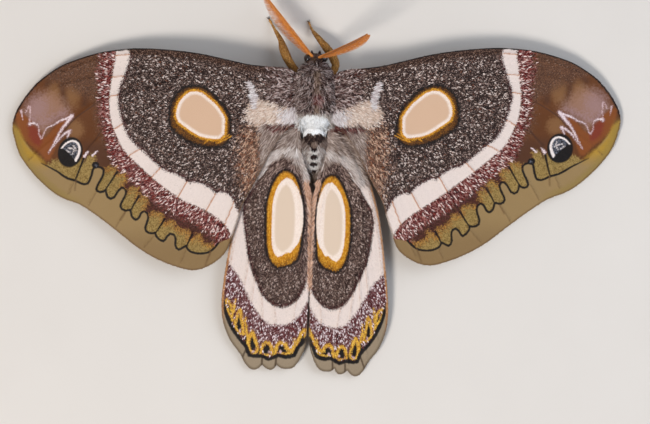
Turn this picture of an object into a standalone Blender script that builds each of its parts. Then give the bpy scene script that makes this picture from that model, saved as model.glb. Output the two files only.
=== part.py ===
"""An Epiphora moth at rest on the floor with its four wings spread, life size, in metres with +Z up.

The head looks along +Y, the wings reach out along X, and the origin is the bottom centre of the box
that holds the whole insect. Lengths are written in millimetres and scaled by MM.
"""

import math

import bmesh
import bpy
from mathutils import Matrix, Vector
from mathutils.geometry import delaunay_2d_cdt

MM = 0.001
GAP = 0.32  # what neighbouring pieces keep clear of each other
SIDES = {"left": -1, "right": 1}

# Body, from the thorax's middle line; y is forward
THORAX_CENTRE = (0.0, 6.0, 5.3)
THORAX_HALF = (4.2, 6.35, 3.6)
THORAX_BOXINESS = 0.86  # under 1 fills out an ellipsoid's shoulders
HEAD_CENTRE = (0.15, 12.4, 4.5)
HEAD_HALF = (1.55, 1.55, 1.65)
EYE_RADIUS = 0.85
EYE_OUT, EYE_FORWARD, EYE_DOWN = 1.3, 0.5, 0.1
PALP_OUT, PALP_LENGTH, PALP_RADIUS = 0.55, 1.0, 0.42
ABDOMEN_ROOT = (0.05, 2.2, 5.0)
ABDOMEN_TIP = (-0.3, -9.0, 2.6)
ABDOMEN_RADIUS = 2.45
ABDOMEN_SEGMENTS = 7
ABDOMEN_GROOVE = 0.16

# Wing sheets
MEMBRANE = 0.5
VEIN = 0.95  # the sheet's thickness along a vein's crest at its root
VEIN_HALF_WIDTH = 0.45
MESH_STEP = 2.6
ROOT_HEIGHT = 6.7  # of the forewing's sheet beside the thorax
SIDE_DROP, SIDE_REACH, SIDE_POWER = 5.7, 51.0, 1.25
REAR_DROP, REAR_REACH, REAR_POWER = 4.0, 49.0, 1.5
ROOT_OUT, ROOT_FORWARD = 4.0, 5.0
UNDERLAP = 1.45  # how far the hindwing's sheet lies below the forewing's

# A wing's outline: (out, forward) from the middle line, once round from the root's front corner
FOREWING_OUTLINE = (
    (2.6, 9.6), (4.6, 10.9), (8.1, 11.3), (11.7, 11.7), (15.3, 12.5), (20.7, 13.7), (26.1, 14.4),
    (31.5, 14.7), (35.1, 14.5), (38.7, 14.0), (42.3, 13.0), (45.9, 11.6), (49.5, 9.2), (51.3, 7.4),
    (52.8, 5.5), (54.0, 3.5), (54.6, 1.7), (54.7, 0.0), (54.4, -1.4), (53.9, -3.2), (53.2, -4.8),
    (52.1, -6.4), (50.7, -8.1), (49.1, -9.7), (47.3, -11.2), (45.4, -12.3), (42.3, -13.5),
    (38.7, -15.9), (35.1, -18.7), (31.5, -21.5), (27.9, -23.5), (24.3, -24.8), (21.6, -25.2),
    (18.9, -24.3), (16.3, -22.2), (14.9, -19.0), (13.9, -16.2), (12.9, -13.2), (10.6, -9.0),
    (7.8, -3.7), (5.6, -0.6), (2.6, 2.4),
)
HINDWING_OUTLINE = (
    (2.4, 2.6), (5.4, 0.9), (8.2, -2.6), (10.8, -7.5), (12.8, -13.0), (14.0, -18.5), (14.9, -24.0),
    (15.5, -28.5), (15.7, -32.3), (15.3, -35.2), (14.1, -38.2), (12.2, -40.8), (11.2, -42.6),
    (10.2, -43.5), (9.1, -43.5), (8.2, -42.7), (7.5, -43.3), (6.7, -43.6), (6.0, -43.3), (5.6, -42.6),
    (4.9, -43.2), (3.7, -43.4), (2.6, -43.1), (1.8, -42.2), (1.1, -40.9), (0.5, -39.3), (0.25, -37.0),
    (0.2, -32.0), (0.2, -26.0), (0.2, -20.0), (0.2, -14.0), (0.3, -10.4), (1.0, -7.6), (1.9, -5.0),
    (2.2, -2.0),
)
SHARP_CORNERS = {"forewing": (0, -1), "hindwing": (0, 15, 19, -1)}

# Veins from the root outwards, in the same (out, forward) plane
FOREWING_VEINS = (
    ((3.6, 9.3), (9.0, 10.2), (18.0, 12.0), (30.0, 13.6), (38.0, 13.0), (46.0, 10.2)),
    ((3.6, 8.2), (12.0, 9.2), (22.0, 10.2), (33.0, 9.8), (43.0, 8.8), (50.5, 5.6)),
    ((24.5, 9.4), (31.0, 7.0), (37.5, 5.9), (42.0, 3.2), (46.5, -1.0), (51.8, -5.4)),
    ((25.5, 7.6), (30.0, 3.8), (35.8, 0.4), (40.8, -3.4), (44.4, -11.4)),
    ((24.8, 0.4), (29.0, -2.4), (33.0, -4.3), (37.6, -8.5), (40.9, -13.6)),
    ((22.4, -2.2), (27.0, -6.0), (31.5, -11.0), (34.6, -15.4), (36.0, -17.6)),
    ((3.6, 6.6), (10.0, 3.8), (16.0, -0.8), (20.5, -5.5), (24.0, -11.0), (28.2, -18.0), (30.9, -21.2)),
    ((12.6, 0.9), (15.6, -6.5), (18.6, -12.8), (21.6, -18.0), (24.2, -24.0)),
    ((4.4, 4.0), (9.6, -1.2), (13.0, -8.5), (15.6, -15.5), (19.4, -23.6)),
)
HINDWING_VEINS = (
    ((3.2, 1.4), (7.0, -2.0), (10.4, -8.5), (12.4, -15.0), (13.8, -22.0), (15.0, -31.5)),
    ((3.3, 0.2), (6.6, -4.2), (9.2, -11.0), (10.4, -19.5), (11.6, -28.0), (14.0, -37.0)),
    ((9.7, -14.2), (9.6, -24.0), (10.4, -32.0), (11.9, -40.2)),
    ((9.0, -24.8), (8.2, -34.0), (8.2, -41.8)),
    ((7.2, -26.4), (5.9, -34.0), (5.6, -41.8)),
    (
        (3.2, -1.2), (4.4, -5.0), (3.0, -9.0), (1.6, -14.0), (1.3, -20.0), (1.6, -27.0), (2.6, -34.0),
        (2.4, -41.8),
    ),
)
# How each wing is held: its turn in degrees, stretch, lean and shift
PLACEMENT = {
    "forewing_left": (0.0, (1.0, 1.0), 0.0, (0.0, 0.0)),
    "forewing_right": (1.2, (1.017, 0.974), 0.073, (0.0, -0.25)),
    "hindwing_left": (0.9, (1.003, 0.995), -0.005, (0.37, 0.06)),
    "hindwing_right": (-6.9, (0.915, 0.985), -0.078, (-0.1, -1.1)),
}
WING_PIVOT = (6.3, 6.3)

# Antennae: the shaft's root, its heading in plan, its rise, and the twist of its comb, in degrees
ANTENNA_LENGTH = 14.2
ANTENNA_RADII = (0.36, 0.2)
ANTENNA_POSES = {
    "left": ((-0.3, 13.0, 5.4), 128.0, -7.0, -72.0),
    "right": ((0.5, 12.9, 5.3), 23.0, 48.0, 78.0),
}
ANTENNA_BOW = 1.1  # how far the middle of the shaft bows out of the straight
BARB_PAIRS = 14
BARB_LENGTH = 2.3
BARB_RADII = (0.24, 0.12)
BARB_SPREAD = 52.0  # from the shaft, degrees
BARB_DIHEDRAL = 30.0
BARB_STAGGER = 0.006  # how far one row is ahead of the other, as a share of the shaft
BARB_ROOT_OUT = 0.07

# Legs: (x outwards, y, z, radius) from the hip to the toe
LEG_PATHS = {
    "leg_fore_left": (
        (1.4, 8.6, 3.3, 0.9), (3.4, 10.6, 3.6, 0.85), (4.7, 12.4, 3.5, 0.9), (5.6, 14.4, 2.9, 0.95),
        (6.2, 16.3, 2.0, 0.65), (7.2, 18.1, 1.0, 0.5), (7.9, 19.4, 0.36, 0.45), (8.4, 20.3, 0.3, 0.42),
    ),
    "leg_fore_right": (
        (1.6, 8.6, 3.3, 0.9), (3.5, 11.0, 3.5, 0.85), (3.5, 12.5, 3.2, 0.9), (2.4, 14.4, 2.7, 0.9),
        (0.9, 16.3, 2.0, 0.7), (-0.25, 17.8, 1.1, 0.52), (-0.75, 18.7, 0.36, 0.45), (-1.15, 19.7, 0.3, 0.42),
    ),
    "leg_middle": (
        (1.6, 5.4, 3.2, 0.9), (4.4, 6.4, 3.6, 0.8), (7.2, 6.6, 3.5, 0.75), (9.4, 5.0, 2.4, 0.7),
        (10.9, 3.6, 1.2, 0.5), (12.0, 2.8, 0.4, 0.42), (13.2, 2.0, 0.3, 0.42), (14.2, 1.4, 0.3, 0.42),
    ),
    "leg_hind": (
        (1.6, 2.4, 3.1, 0.9), (4.2, 0.9, 3.3, 0.8), (6.4, -1.0, 3.1, 0.75), (7.6, -4.0, 2.1, 0.7),
        (8.5, -6.6, 1.1, 0.5), (9.0, -8.0, 0.4, 0.42), (9.5, -9.6, 0.3, 0.42), (9.9, -10.8, 0.3, 0.42),
    ),
}
CLAW_LENGTH, CLAW_RADII, CLAW_SPREAD = 0.65, (0.24, 0.1), 26.0

COLOURS = {  # base colour, roughness, metallic
    "thorax_fur": ((0.10, 0.08, 0.08), 0.9, 0.0),
    "head_fur": ((0.09, 0.07, 0.07), 0.9, 0.0),
    "abdomen_fur": ((0.36, 0.33, 0.32), 0.9, 0.0),
    "eye": ((0.02, 0.015, 0.012), 0.15, 0.0),
    "antenna": ((0.62, 0.27, 0.04), 0.55, 0.0),
    "leg_fur": ((0.45, 0.24, 0.05), 0.8, 0.0),
    "forewing_scales": ((0.12, 0.09, 0.08), 0.75, 0.0),
    "hindwing_scales": ((0.13, 0.10, 0.09), 0.75, 0.0),
}


def clear_scene():
    """Removes what the startup scene holds."""
    for obj in list(bpy.data.objects):
        bpy.data.objects.remove(obj, do_unlink=True)


def new_collection(name):
    """A collection linked to the scene."""
    collection = bpy.data.collections.new(name)
    bpy.context.scene.collection.children.link(collection)
    return collection


def make_material(name):
    """A Principled material from COLOURS, made once."""
    if name in bpy.data.materials:
        return bpy.data.materials[name]
    colour, roughness, metallic = COLOURS[name]
    material = bpy.data.materials.new(name)
    material.use_nodes = True
    shader = material.node_tree.nodes["Principled BSDF"]
    shader.inputs["Base Color"].default_value = (*colour, 1.0)
    shader.inputs["Roughness"].default_value = roughness
    shader.inputs["Metallic"].default_value = metallic
    material.diffuse_color = (*colour, 1.0)
    return material


def add_object(name, data, collection, material=None):
    """An object for this mesh or curve, in millimetres until the whole insect is scaled."""
    obj = bpy.data.objects.new(name, data)
    collection.objects.link(obj)
    if material:
        data.materials.append(make_material(material))
    return obj


def as_helper(obj):
    """Marks a cutter, which isn't part of the insect."""
    obj.hide_render = True
    obj.display_type = "WIRE"
    return obj


def mesh_from_bmesh(name, bm):
    """A mesh from this bmesh, with its normals facing out."""
    bmesh.ops.recalc_face_normals(bm, faces=bm.faces)
    mesh = bpy.data.meshes.new(name)
    bm.to_mesh(mesh)
    bm.free()
    return mesh


def realise(obj):
    """Makes an object its evaluated mesh, with caps welded and only the largest closed surface kept."""
    bpy.context.view_layer.update()
    evaluated = obj.evaluated_get(bpy.context.evaluated_depsgraph_get())
    mesh = bpy.data.meshes.new_from_object(evaluated)
    bm = bmesh.new()
    bm.from_mesh(mesh)
    bmesh.ops.remove_doubles(bm, verts=bm.verts, dist=0.001)
    bmesh.ops.triangulate(bm, faces=bm.faces)
    keep_largest(bm)
    bm.to_mesh(mesh)
    bm.free()
    if obj.type == "MESH":
        obj.modifiers.clear()
        obj.data = mesh
        return obj
    made = bpy.data.objects.new(obj.name, mesh)
    made.matrix_world = obj.matrix_world
    for collection in obj.users_collection:
        collection.objects.link(made)
    name = obj.name
    bpy.data.objects.remove(obj, do_unlink=True)
    made.name = name
    return made


def keep_largest(bm):
    """Deletes all but the connected surface with the most volume."""
    left, islands = set(bm.verts), []
    while left:
        stack = [left.pop()]
        island = set(stack)
        while stack:
            for edge in stack.pop().link_edges:
                for vert in edge.verts:
                    if vert in left:
                        left.discard(vert)
                        island.add(vert)
                        stack.append(vert)
        islands.append(island)

    def volume(island):
        faces = {face for vert in island for face in vert.link_faces}
        return sum(f.verts[0].co.dot(f.verts[1].co.cross(f.verts[2].co)) for f in faces)

    islands.sort(key=volume)
    scraps = [vert for island in islands[:-1] for vert in island]
    bmesh.ops.delete(bm, geom=scraps, context="VERTS")


def add_boolean(obj, operation, other, solver="EXACT"):
    """A Boolean with one object, or with all of a collection."""
    modifier = obj.modifiers.new(operation.title(), "BOOLEAN")
    modifier.operation = operation
    modifier.solver = solver
    if isinstance(other, bpy.types.Collection):
        modifier.operand_type = "COLLECTION"
        modifier.collection = other
    else:
        modifier.object = other
    return modifier


def join_pieces(obj, pieces):
    """Fuses closed pieces into an object by one union, and removes them."""
    collection = new_collection(obj.name + "_pieces")
    for piece in pieces:
        for old in piece.users_collection:
            old.objects.unlink(piece)
        collection.objects.link(piece)
    add_boolean(obj, "UNION", collection)
    obj = realise(obj)
    for piece in list(collection.objects):
        bpy.data.objects.remove(piece, do_unlink=True)
    bpy.data.collections.remove(collection)
    return obj


def shade_smooth(obj, angle=50.0):
    """Smooth shading with edges sharper than the angle kept."""
    obj.data.shade_smooth()
    obj.data.set_sharp_from_angle(angle=math.radians(angle))


def spline_through(points, step, corners=(), closed=False):
    """Evenly spaced points on Catmull-Rom curves through these points, which stay sharp at the corners."""
    points = [Vector(p) for p in points]
    count = len(points)
    corners = {c % count for c in corners}
    out = []
    for i in range(count if closed else count - 1):
        a, b = points[i], points[(i + 1) % count]
        before = points[(i - 1) % count] if closed or i > 0 else a
        after = points[(i + 2) % count] if closed or i + 2 < count else b
        if i in corners:
            before = a
        if (i + 1) % count in corners:
            after = b
        pieces = max(1, round((b - a).length / step))
        for k in range(pieces):
            t = k / pieces
            out.append(
                0.5
                * (
                    2 * a
                    + (b - before) * t
                    + (2 * before - 5 * a + 4 * b - after) * t * t
                    + (3 * a - before - 3 * b + after) * t**3
                )
            )
    if not closed:
        out.append(points[-1])
    return out


def forewing_height(out, forward):
    """The height of the forewing's middle sheet: highest at the root, lowest at the tip and the rear."""
    side = max(0.0, abs(out) - ROOT_OUT) / SIDE_REACH
    rear = max(0.0, ROOT_FORWARD - forward) / REAR_REACH
    return ROOT_HEIGHT - SIDE_DROP * side**SIDE_POWER - REAR_DROP * rear**REAR_POWER


def hindwing_height(out, forward):
    """The hindwing lies the same way, under the forewing."""
    return forewing_height(out, forward) - UNDERLAP


def placed(point, wing, side):
    """A point of a wing's outline plane as (x, y), as that wing is held."""
    turn, stretch, lean, shift = PLACEMENT[f"{wing}_{side}"]
    pivot = Vector(WING_PIVOT)
    offset = Vector(point) - pivot
    forward = offset.y * stretch[1]
    offset = Vector((offset.x * stretch[0] + lean * forward, forward))
    offset.rotate(Matrix.Rotation(math.radians(turn), 2))
    x, y = pivot + offset + Vector(shift)
    return Vector((x * SIDES[side], y))


def inside(point, outline):
    """Whether a 2D point lies in a closed outline."""
    hit = False
    for a, b in zip(outline, outline[1:] + outline[:1]):
        if (a.y > point.y) != (b.y > point.y):
            if point.x < a.x + (point.y - a.y) * (b.x - a.x) / (b.y - a.y):
                hit = not hit
    return hit


def distance_to_path(point, path):
    """How far a 2D point lies from a polyline."""
    best = 1e9
    for a, b in zip(path, path[1:]):
        along = b - a
        t = max(0.0, min(1.0, (point - a).dot(along) / along.length_squared))
        best = min(best, (point - a - along * t).length)
    return best


def wing_points(outline, veins):
    """The flat points of a wing's mesh, its constrained edges, and each point's share of vein height."""
    points, edges, weights = list(outline), [], [0.0] * len(outline)
    edges += [(i, (i + 1) % len(outline)) for i in range(len(outline))]
    rim = outline + outline[:1]
    for number, vein in enumerate(veins):
        others = veins[:number] + veins[number + 1 :]
        crest = []
        for i, point in enumerate(vein):
            if i and any(distance_to_path(point, other) < VEIN_HALF_WIDTH for other in veins[:number]):
                crest.append(None)
                continue
            crest.append(len(points))
            points.append(point)
            weights.append(1.0 - 0.45 * i / (len(vein) - 1))
        edges += [(a, b) for a, b in zip(crest, crest[1:]) if None not in (a, b)]
        for a, b in zip(vein, vein[1:]):
            across = Vector((a.y - b.y, b.x - a.x)).normalized() * VEIN_HALF_WIDTH
            for flank in ((a + b) / 2 + across, (a + b) / 2 - across):
                near = min((distance_to_path(flank, other) for other in others), default=9.0)
                if near > VEIN_HALF_WIDTH and distance_to_path(flank, rim) > VEIN_HALF_WIDTH:
                    if inside(flank, outline):
                        points.append(flank)
                        weights.append(0.0)
    low = Vector((min(p.x for p in outline), min(p.y for p in outline)))
    high = Vector((max(p.x for p in outline), max(p.y for p in outline)))
    rows = int((high.y - low.y) / (MESH_STEP * 0.87)) + 1
    columns = int((high.x - low.x) / MESH_STEP) + 1
    for row in range(rows):
        for column in range(columns):
            shift = 0.5 * (row % 2)
            point = low + Vector(((column + shift) * MESH_STEP, row * MESH_STEP * 0.87))
            if not inside(point, outline) or distance_to_path(point, rim) < 0.45 * MESH_STEP:
                continue
            if all(distance_to_path(point, vein) > 0.45 * MESH_STEP for vein in veins):
                points.append(point)
                weights.append(0.0)
    return points, edges, weights


def make_wing(wing, side, outline, vein_paths, height, collection):
    """A wing as a triangulated sheet with its veins raised on both faces."""
    rim = spline_through(outline, 1.9, SHARP_CORNERS[wing], closed=True)
    veins = [spline_through(path, 2.3) for path in vein_paths]
    points, edges, weights = wing_points(rim, veins)
    flat, _, faces, origins, _, _ = delaunay_2d_cdt(points, edges, [list(range(len(rim)))], 1, 1e-4)
    bm = bmesh.new()
    verts = []
    for point in flat:
        x, y = placed(point, wing, side)
        verts.append(bm.verts.new((x, y, height(x, y))))
    for face in faces:
        bm.faces.new([verts[i] for i in face])
    for face in bm.faces:
        face.normal_update()
    if sum(face.normal.z for face in bm.faces) < 0:
        bmesh.ops.reverse_faces(bm, faces=bm.faces)
    mesh = bpy.data.meshes.new(f"{wing}_{side}")
    bm.to_mesh(mesh)
    bm.free()
    obj = add_object(f"{wing}_{side}", mesh, collection, f"{wing}_scales")
    group = obj.vertex_groups.new(name="veins")
    for index, sources in enumerate(origins):
        share = max((weights[s] for s in sources), default=0.0)
        if share > 0:
            group.add([index], share, "REPLACE")
    sheet = obj.modifiers.new("Thickness", "SOLIDIFY")
    sheet.thickness = VEIN
    sheet.offset = 0.0
    sheet.vertex_group = "veins"
    sheet.thickness_vertex_group = MEMBRANE / VEIN
    return obj


def rounded_form(name, centre, half, boxiness, collection, material=None, grow=0.0, segments=24, rings=16):
    """A closed ellipsoid with filled-out shoulders. grow moves its surface out along its normals."""
    bm = bmesh.new()
    bmesh.ops.create_uvsphere(bm, u_segments=segments, v_segments=rings, radius=1.0)
    for vert in bm.verts:
        shaped = [math.copysign(abs(c) ** boxiness, c) for c in vert.co]
        vert.co = [h * c for h, c in zip(half, shaped)]
    obj = add_object(name, mesh_from_bmesh(name, bm), collection, material)
    obj.location = centre
    if grow:
        displace = obj.modifiers.new("Clearance", "DISPLACE")
        displace.strength = grow
        displace.mid_level = 0.0
    return obj


def make_abdomen(name, collection, material=None, grow=0.0):
    """A turned, ringed abdomen that droops towards its tip."""
    root, tip = Vector(ABDOMEN_ROOT), Vector(ABDOMEN_TIP)
    length = (tip - root).length
    profile = [(0.0, -grow)]
    steps = ABDOMEN_SEGMENTS * 4
    for i in range(1, steps):
        t = i / steps
        body = ABDOMEN_RADIUS * math.sin(math.pi * (0.16 + 0.84 * t)) ** 0.55
        groove = 0.0 if grow else ABDOMEN_GROOVE * max(0.0, math.cos(2 * math.pi * t * ABDOMEN_SEGMENTS)) ** 2
        profile.append((body - groove + grow, t * (length + 2 * grow) - grow))
    profile.append((0.0, length + grow))
    mesh = bpy.data.meshes.new(name)
    rows = [(radius, 0.0, -down) for radius, down in profile]
    mesh.from_pydata(rows, [(i, i + 1) for i in range(len(rows) - 1)], [])
    obj = add_object(name, mesh, collection, material)
    screw = obj.modifiers.new("Turn", "SCREW")
    screw.steps = screw.render_steps = 20
    screw.use_merge_vertices = True
    screw.merge_threshold = 0.0001
    screw.use_normal_calculate = True
    obj.rotation_mode = "QUATERNION"
    obj.rotation_quaternion = (tip - root).to_track_quat("-Z", "Y")
    obj.location = root
    return obj


def tube(name, stations, collection, material=None, resolution=2):
    """A tapering tube through (point, radius) stations, as a closed mesh."""
    curve = bpy.data.curves.new(name, "CURVE")
    curve.dimensions = "3D"
    curve.bevel_depth = 1.0
    curve.bevel_resolution = resolution
    curve.use_fill_caps = True
    spline = curve.splines.new("POLY")
    spline.points.add(len(stations) - 1)
    for point, (place, radius) in zip(spline.points, stations):
        point.co = (*place, 1.0)
        point.radius = radius
    return realise(add_object(name, curve, collection, material))


def cone(name, root, tip, radii, collection, sides=5):
    """A tapered spike between two points."""
    root, tip = Vector(root), Vector(tip)
    bm = bmesh.new()
    bmesh.ops.create_cone(
        bm, cap_ends=True, segments=sides, radius1=radii[0], radius2=radii[1], depth=(tip - root).length
    )
    obj = add_object(name, mesh_from_bmesh(name, bm), collection)
    obj.rotation_mode = "QUATERNION"
    obj.rotation_quaternion = (tip - root).to_track_quat("Z", "Y")
    obj.location = (root + tip) / 2
    return obj


def make_head(collection, material):
    """The head's capsule with a pair of short palps in front of the mouth."""
    head = rounded_form("head", HEAD_CENTRE, HEAD_HALF, 0.95, collection, material, segments=20, rings=14)
    palps = []
    for side, sign in SIDES.items():
        root = Vector(HEAD_CENTRE) + Vector((sign * PALP_OUT, 0.9, -0.5))
        tip = root + Vector((sign * 0.15, PALP_LENGTH, -0.05))
        palps.append(cone(f"palp_{side}", root, tip, (PALP_RADIUS, 0.26), collection, sides=8))
    return join_pieces(head, palps)


def make_eye(side, collection):
    """A compound eye, a plain dome set into the side of the head."""
    centre = Vector(HEAD_CENTRE) + Vector((SIDES[side] * EYE_OUT, EYE_FORWARD, -EYE_DOWN))
    radii = (EYE_RADIUS,) * 3
    return rounded_form(f"eye_{side}", centre, radii, 1.0, collection, "eye", segments=16, rings=10)


def make_antenna(side, collection):
    """A feather-like antenna: a tapering shaft with two combed rows of barbs, longest near its middle."""
    root, heading, rise, twist = ANTENNA_POSES[side]
    frame = (
        Matrix.Translation(root)
        @ Matrix.Rotation(math.radians(heading - 90), 4, "Z")
        @ Matrix.Rotation(math.radians(rise), 4, "X")
        @ Matrix.Rotation(math.radians(twist), 4, "Y")
    )

    def shaft_at(t):
        return Vector((ANTENNA_BOW * math.sin(math.pi * t) * SIDES[side] * 0.5, ANTENNA_LENGTH * t, 0.0))

    steps = 12
    stations = []
    for i in range(steps + 1):
        t = i / steps
        radius = ANTENNA_RADII[0] + (ANTENNA_RADII[1] - ANTENNA_RADII[0]) * t
        stations.append((frame @ shaft_at(t), radius))
    shaft = tube(f"antenna_{side}", stations, collection, "antenna", resolution=1)
    barbs = []
    for pair in range(BARB_PAIRS):
        t = 0.14 + 0.8 * pair / (BARB_PAIRS - 1)
        length = BARB_LENGTH * (0.3 + 0.7 * math.sin(math.pi * (t * 0.92 + 0.06)))
        for sign in (-1, 1):
            spread, lift = math.radians(BARB_SPREAD), math.radians(BARB_DIHEDRAL)
            out = math.sin(spread)
            way = Vector((sign * out * math.cos(lift), math.cos(spread), out * math.sin(lift)))
            start = shaft_at(t + sign * BARB_STAGGER) + Vector((sign * BARB_ROOT_OUT, 0, 0))
            tip = start + way * length
            barbs.append(cone(f"barb_{pair}_{sign}", frame @ start, frame @ tip, BARB_RADII, collection))
    return join_pieces(shaft, barbs)


def make_leg(name, side, path, collection):
    """A leg from hip to toe: a thick furred thigh and shin, a thin foot along the floor, and two claws."""
    sign = SIDES[side]
    stations = [
        (Vector((sign * p[0], p[1], p[2])), p[3])
        for p in spline_through([Vector(station) for station in path], 0.75)
    ]
    leg = tube(name, stations, collection, "leg_fur")
    toe, before = stations[-1][0], stations[-3][0]
    forward = (toe - before).normalized()
    forward.z = 0.0
    claws = []
    for turn in (-CLAW_SPREAD, CLAW_SPREAD):
        way = Matrix.Rotation(math.radians(turn), 3, "Z") @ forward
        root = toe - forward * 0.5 + (way - forward) * 0.35
        tip = toe + way * CLAW_LENGTH
        claws.append(cone(f"claw_{turn}", root, tip, CLAW_RADII, collection))
    return join_pieces(leg, claws)


def make_floor_cutter(collection):
    """A block whose top is the floor, which gives every foot its flat."""
    bm = bmesh.new()
    bmesh.ops.create_cube(bm, size=1.0)
    for vert in bm.verts:
        vert.co = (vert.co.x * 60.0, vert.co.y * 60.0, vert.co.z * 4.0 - 2.0)
    return as_helper(add_object("floor_cutter", mesh_from_bmesh("floor_cutter", bm), collection))


def set_on_origin(objects):
    """Scales the insect to metres and puts the bottom centre of its box on the origin."""
    bpy.context.view_layer.update()
    corners = [obj.matrix_world @ vert.co for obj in objects for vert in obj.data.vertices]
    low = [min(c[i] for c in corners) for i in range(3)]
    high = [max(c[i] for c in corners) for i in range(3)]
    shift = Matrix.Translation((-(low[0] + high[0]) / 2, -(low[1] + high[1]) / 2, -low[2]))
    for obj in objects:
        obj.data.transform(Matrix.Scale(MM, 4) @ shift @ obj.matrix_world)
        obj.matrix_world = Matrix.Identity(4)
        shade_smooth(obj)
    print("shift_mm", [round(v, 4) for v in shift.to_translation()])


def main():
    clear_scene()
    moth = new_collection("epiphora_moth")
    cutters = new_collection("cutters")

    thorax = rounded_form("thorax", THORAX_CENTRE, THORAX_HALF, THORAX_BOXINESS, moth, "thorax_fur")
    thorax_room = as_helper(
        rounded_form("thorax_room", THORAX_CENTRE, THORAX_HALF, THORAX_BOXINESS, cutters, grow=GAP)
    )
    head = make_head(moth, "head_fur")
    head_room = as_helper(
        rounded_form("head_room", HEAD_CENTRE, HEAD_HALF, 0.95, cutters, grow=GAP, segments=20, rings=14)
    )
    abdomen = make_abdomen("abdomen", moth, "abdomen_fur")
    abdomen_room = as_helper(make_abdomen("abdomen_room", cutters, grow=GAP))
    floor = make_floor_cutter(cutters)

    cuts = [(head, (thorax_room,)), (abdomen, (thorax_room,))]
    for side in SIDES:
        eye = make_eye(side, moth)
        cuts.append((eye, (head_room,)))
        cuts.append((make_antenna(side, moth), (head_room,)))
        for wing, outline, veins, height in (
            ("forewing", FOREWING_OUTLINE, FOREWING_VEINS, forewing_height),
            ("hindwing", HINDWING_OUTLINE, HINDWING_VEINS, hindwing_height),
        ):
            cuts.append((make_wing(wing, side, outline, veins, height, moth), (thorax_room, abdomen_room)))
        for pair in ("leg_fore", "leg_middle", "leg_hind"):
            name = f"{pair}_{side}"
            path = LEG_PATHS.get(name) or LEG_PATHS[pair]
            cuts.append((make_leg(name, side, path, moth), (thorax_room, floor)))
    for obj, rooms in cuts:
        for room in rooms:
            add_boolean(obj, "DIFFERENCE", room)
        realise(obj)
    set_on_origin([thorax, *[obj for obj, _ in cuts]])


main()
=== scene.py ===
import math

import bpy
import numpy as np
from mathutils import Matrix, Vector
from mathutils.geometry import delaunay_2d_cdt


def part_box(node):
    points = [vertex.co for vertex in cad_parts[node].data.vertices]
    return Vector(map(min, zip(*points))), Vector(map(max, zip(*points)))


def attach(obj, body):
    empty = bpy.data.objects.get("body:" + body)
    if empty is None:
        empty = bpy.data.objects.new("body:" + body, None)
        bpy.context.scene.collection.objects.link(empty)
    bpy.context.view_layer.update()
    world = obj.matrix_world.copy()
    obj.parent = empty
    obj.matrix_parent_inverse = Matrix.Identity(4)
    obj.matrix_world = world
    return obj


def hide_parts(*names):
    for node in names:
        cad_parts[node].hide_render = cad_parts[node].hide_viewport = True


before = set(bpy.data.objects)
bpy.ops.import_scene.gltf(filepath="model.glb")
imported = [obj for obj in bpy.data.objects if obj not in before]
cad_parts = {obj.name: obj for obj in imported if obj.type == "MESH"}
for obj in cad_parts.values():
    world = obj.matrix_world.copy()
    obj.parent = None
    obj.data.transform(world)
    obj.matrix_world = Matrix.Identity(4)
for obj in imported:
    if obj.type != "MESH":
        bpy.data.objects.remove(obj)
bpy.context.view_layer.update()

MM = 0.001
SEED = 20
SIDES = {"left": -1, "right": 1}

# The body's forms, as in the solids
THORAX_CENTRE = np.array((0.0, 6.0, 5.3))
THORAX_HALF = np.array((4.2, 6.35, 3.6))
THORAX_BOXINESS = 0.86
HEAD_CENTRE = np.array((0.15, 12.4, 4.5))
HEAD_HALF = np.array((1.55, 1.55, 1.65))
EYE_RADIUS = 0.85
EYE_OUT, EYE_FORWARD, EYE_DOWN = 1.3, 0.5, 0.1
PALP_OUT, PALP_LENGTH = 0.55, 1.0
ABDOMEN_ROOT = np.array((0.05, 2.2, 5.0))
ABDOMEN_TIP = np.array((-0.3, -9.0, 2.6))
ABDOMEN_RADIUS = 2.45
ABDOMEN_SEGMENTS = 7
COAT_DEPTH = {"thorax": 0.62, "head": 0.35, "abdomen": 0.4, "leg": 0.16}  # how far the skin lies inside
BODY_VOXEL = 0.17

thorax_low, thorax_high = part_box("thorax")
HOME = np.array((thorax_low + thorax_high) / (2 * MM)) - THORAX_CENTRE

# Wing sheets
MEMBRANE = 0.3
RIM_THICKNESS = 0.12
RIM_TAPER = 1.2  # how far in from the margin the sheet reaches its full thickness
VEIN_RISE, VEIN_WIDTH = 0.13, 0.28
SAG, SAG_WIDTH = 0.16, 2.2  # how far the membrane dips between two veins, and how wide a vein holds it up
RIM_STEP, TOP_STEP, UNDER_STEP = 0.4, 0.24, 0.5
ROOT_HEIGHT = 6.7
SIDE_DROP, SIDE_REACH, SIDE_POWER = 5.7, 51.0, 1.25
REAR_DROP, REAR_REACH, REAR_POWER = 4.0, 49.0, 1.5
ROOT_OUT, ROOT_FORWARD = 4.0, 5.0
UNDERLAP = {"forewing": 0.0, "hindwing": 1.45}

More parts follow.
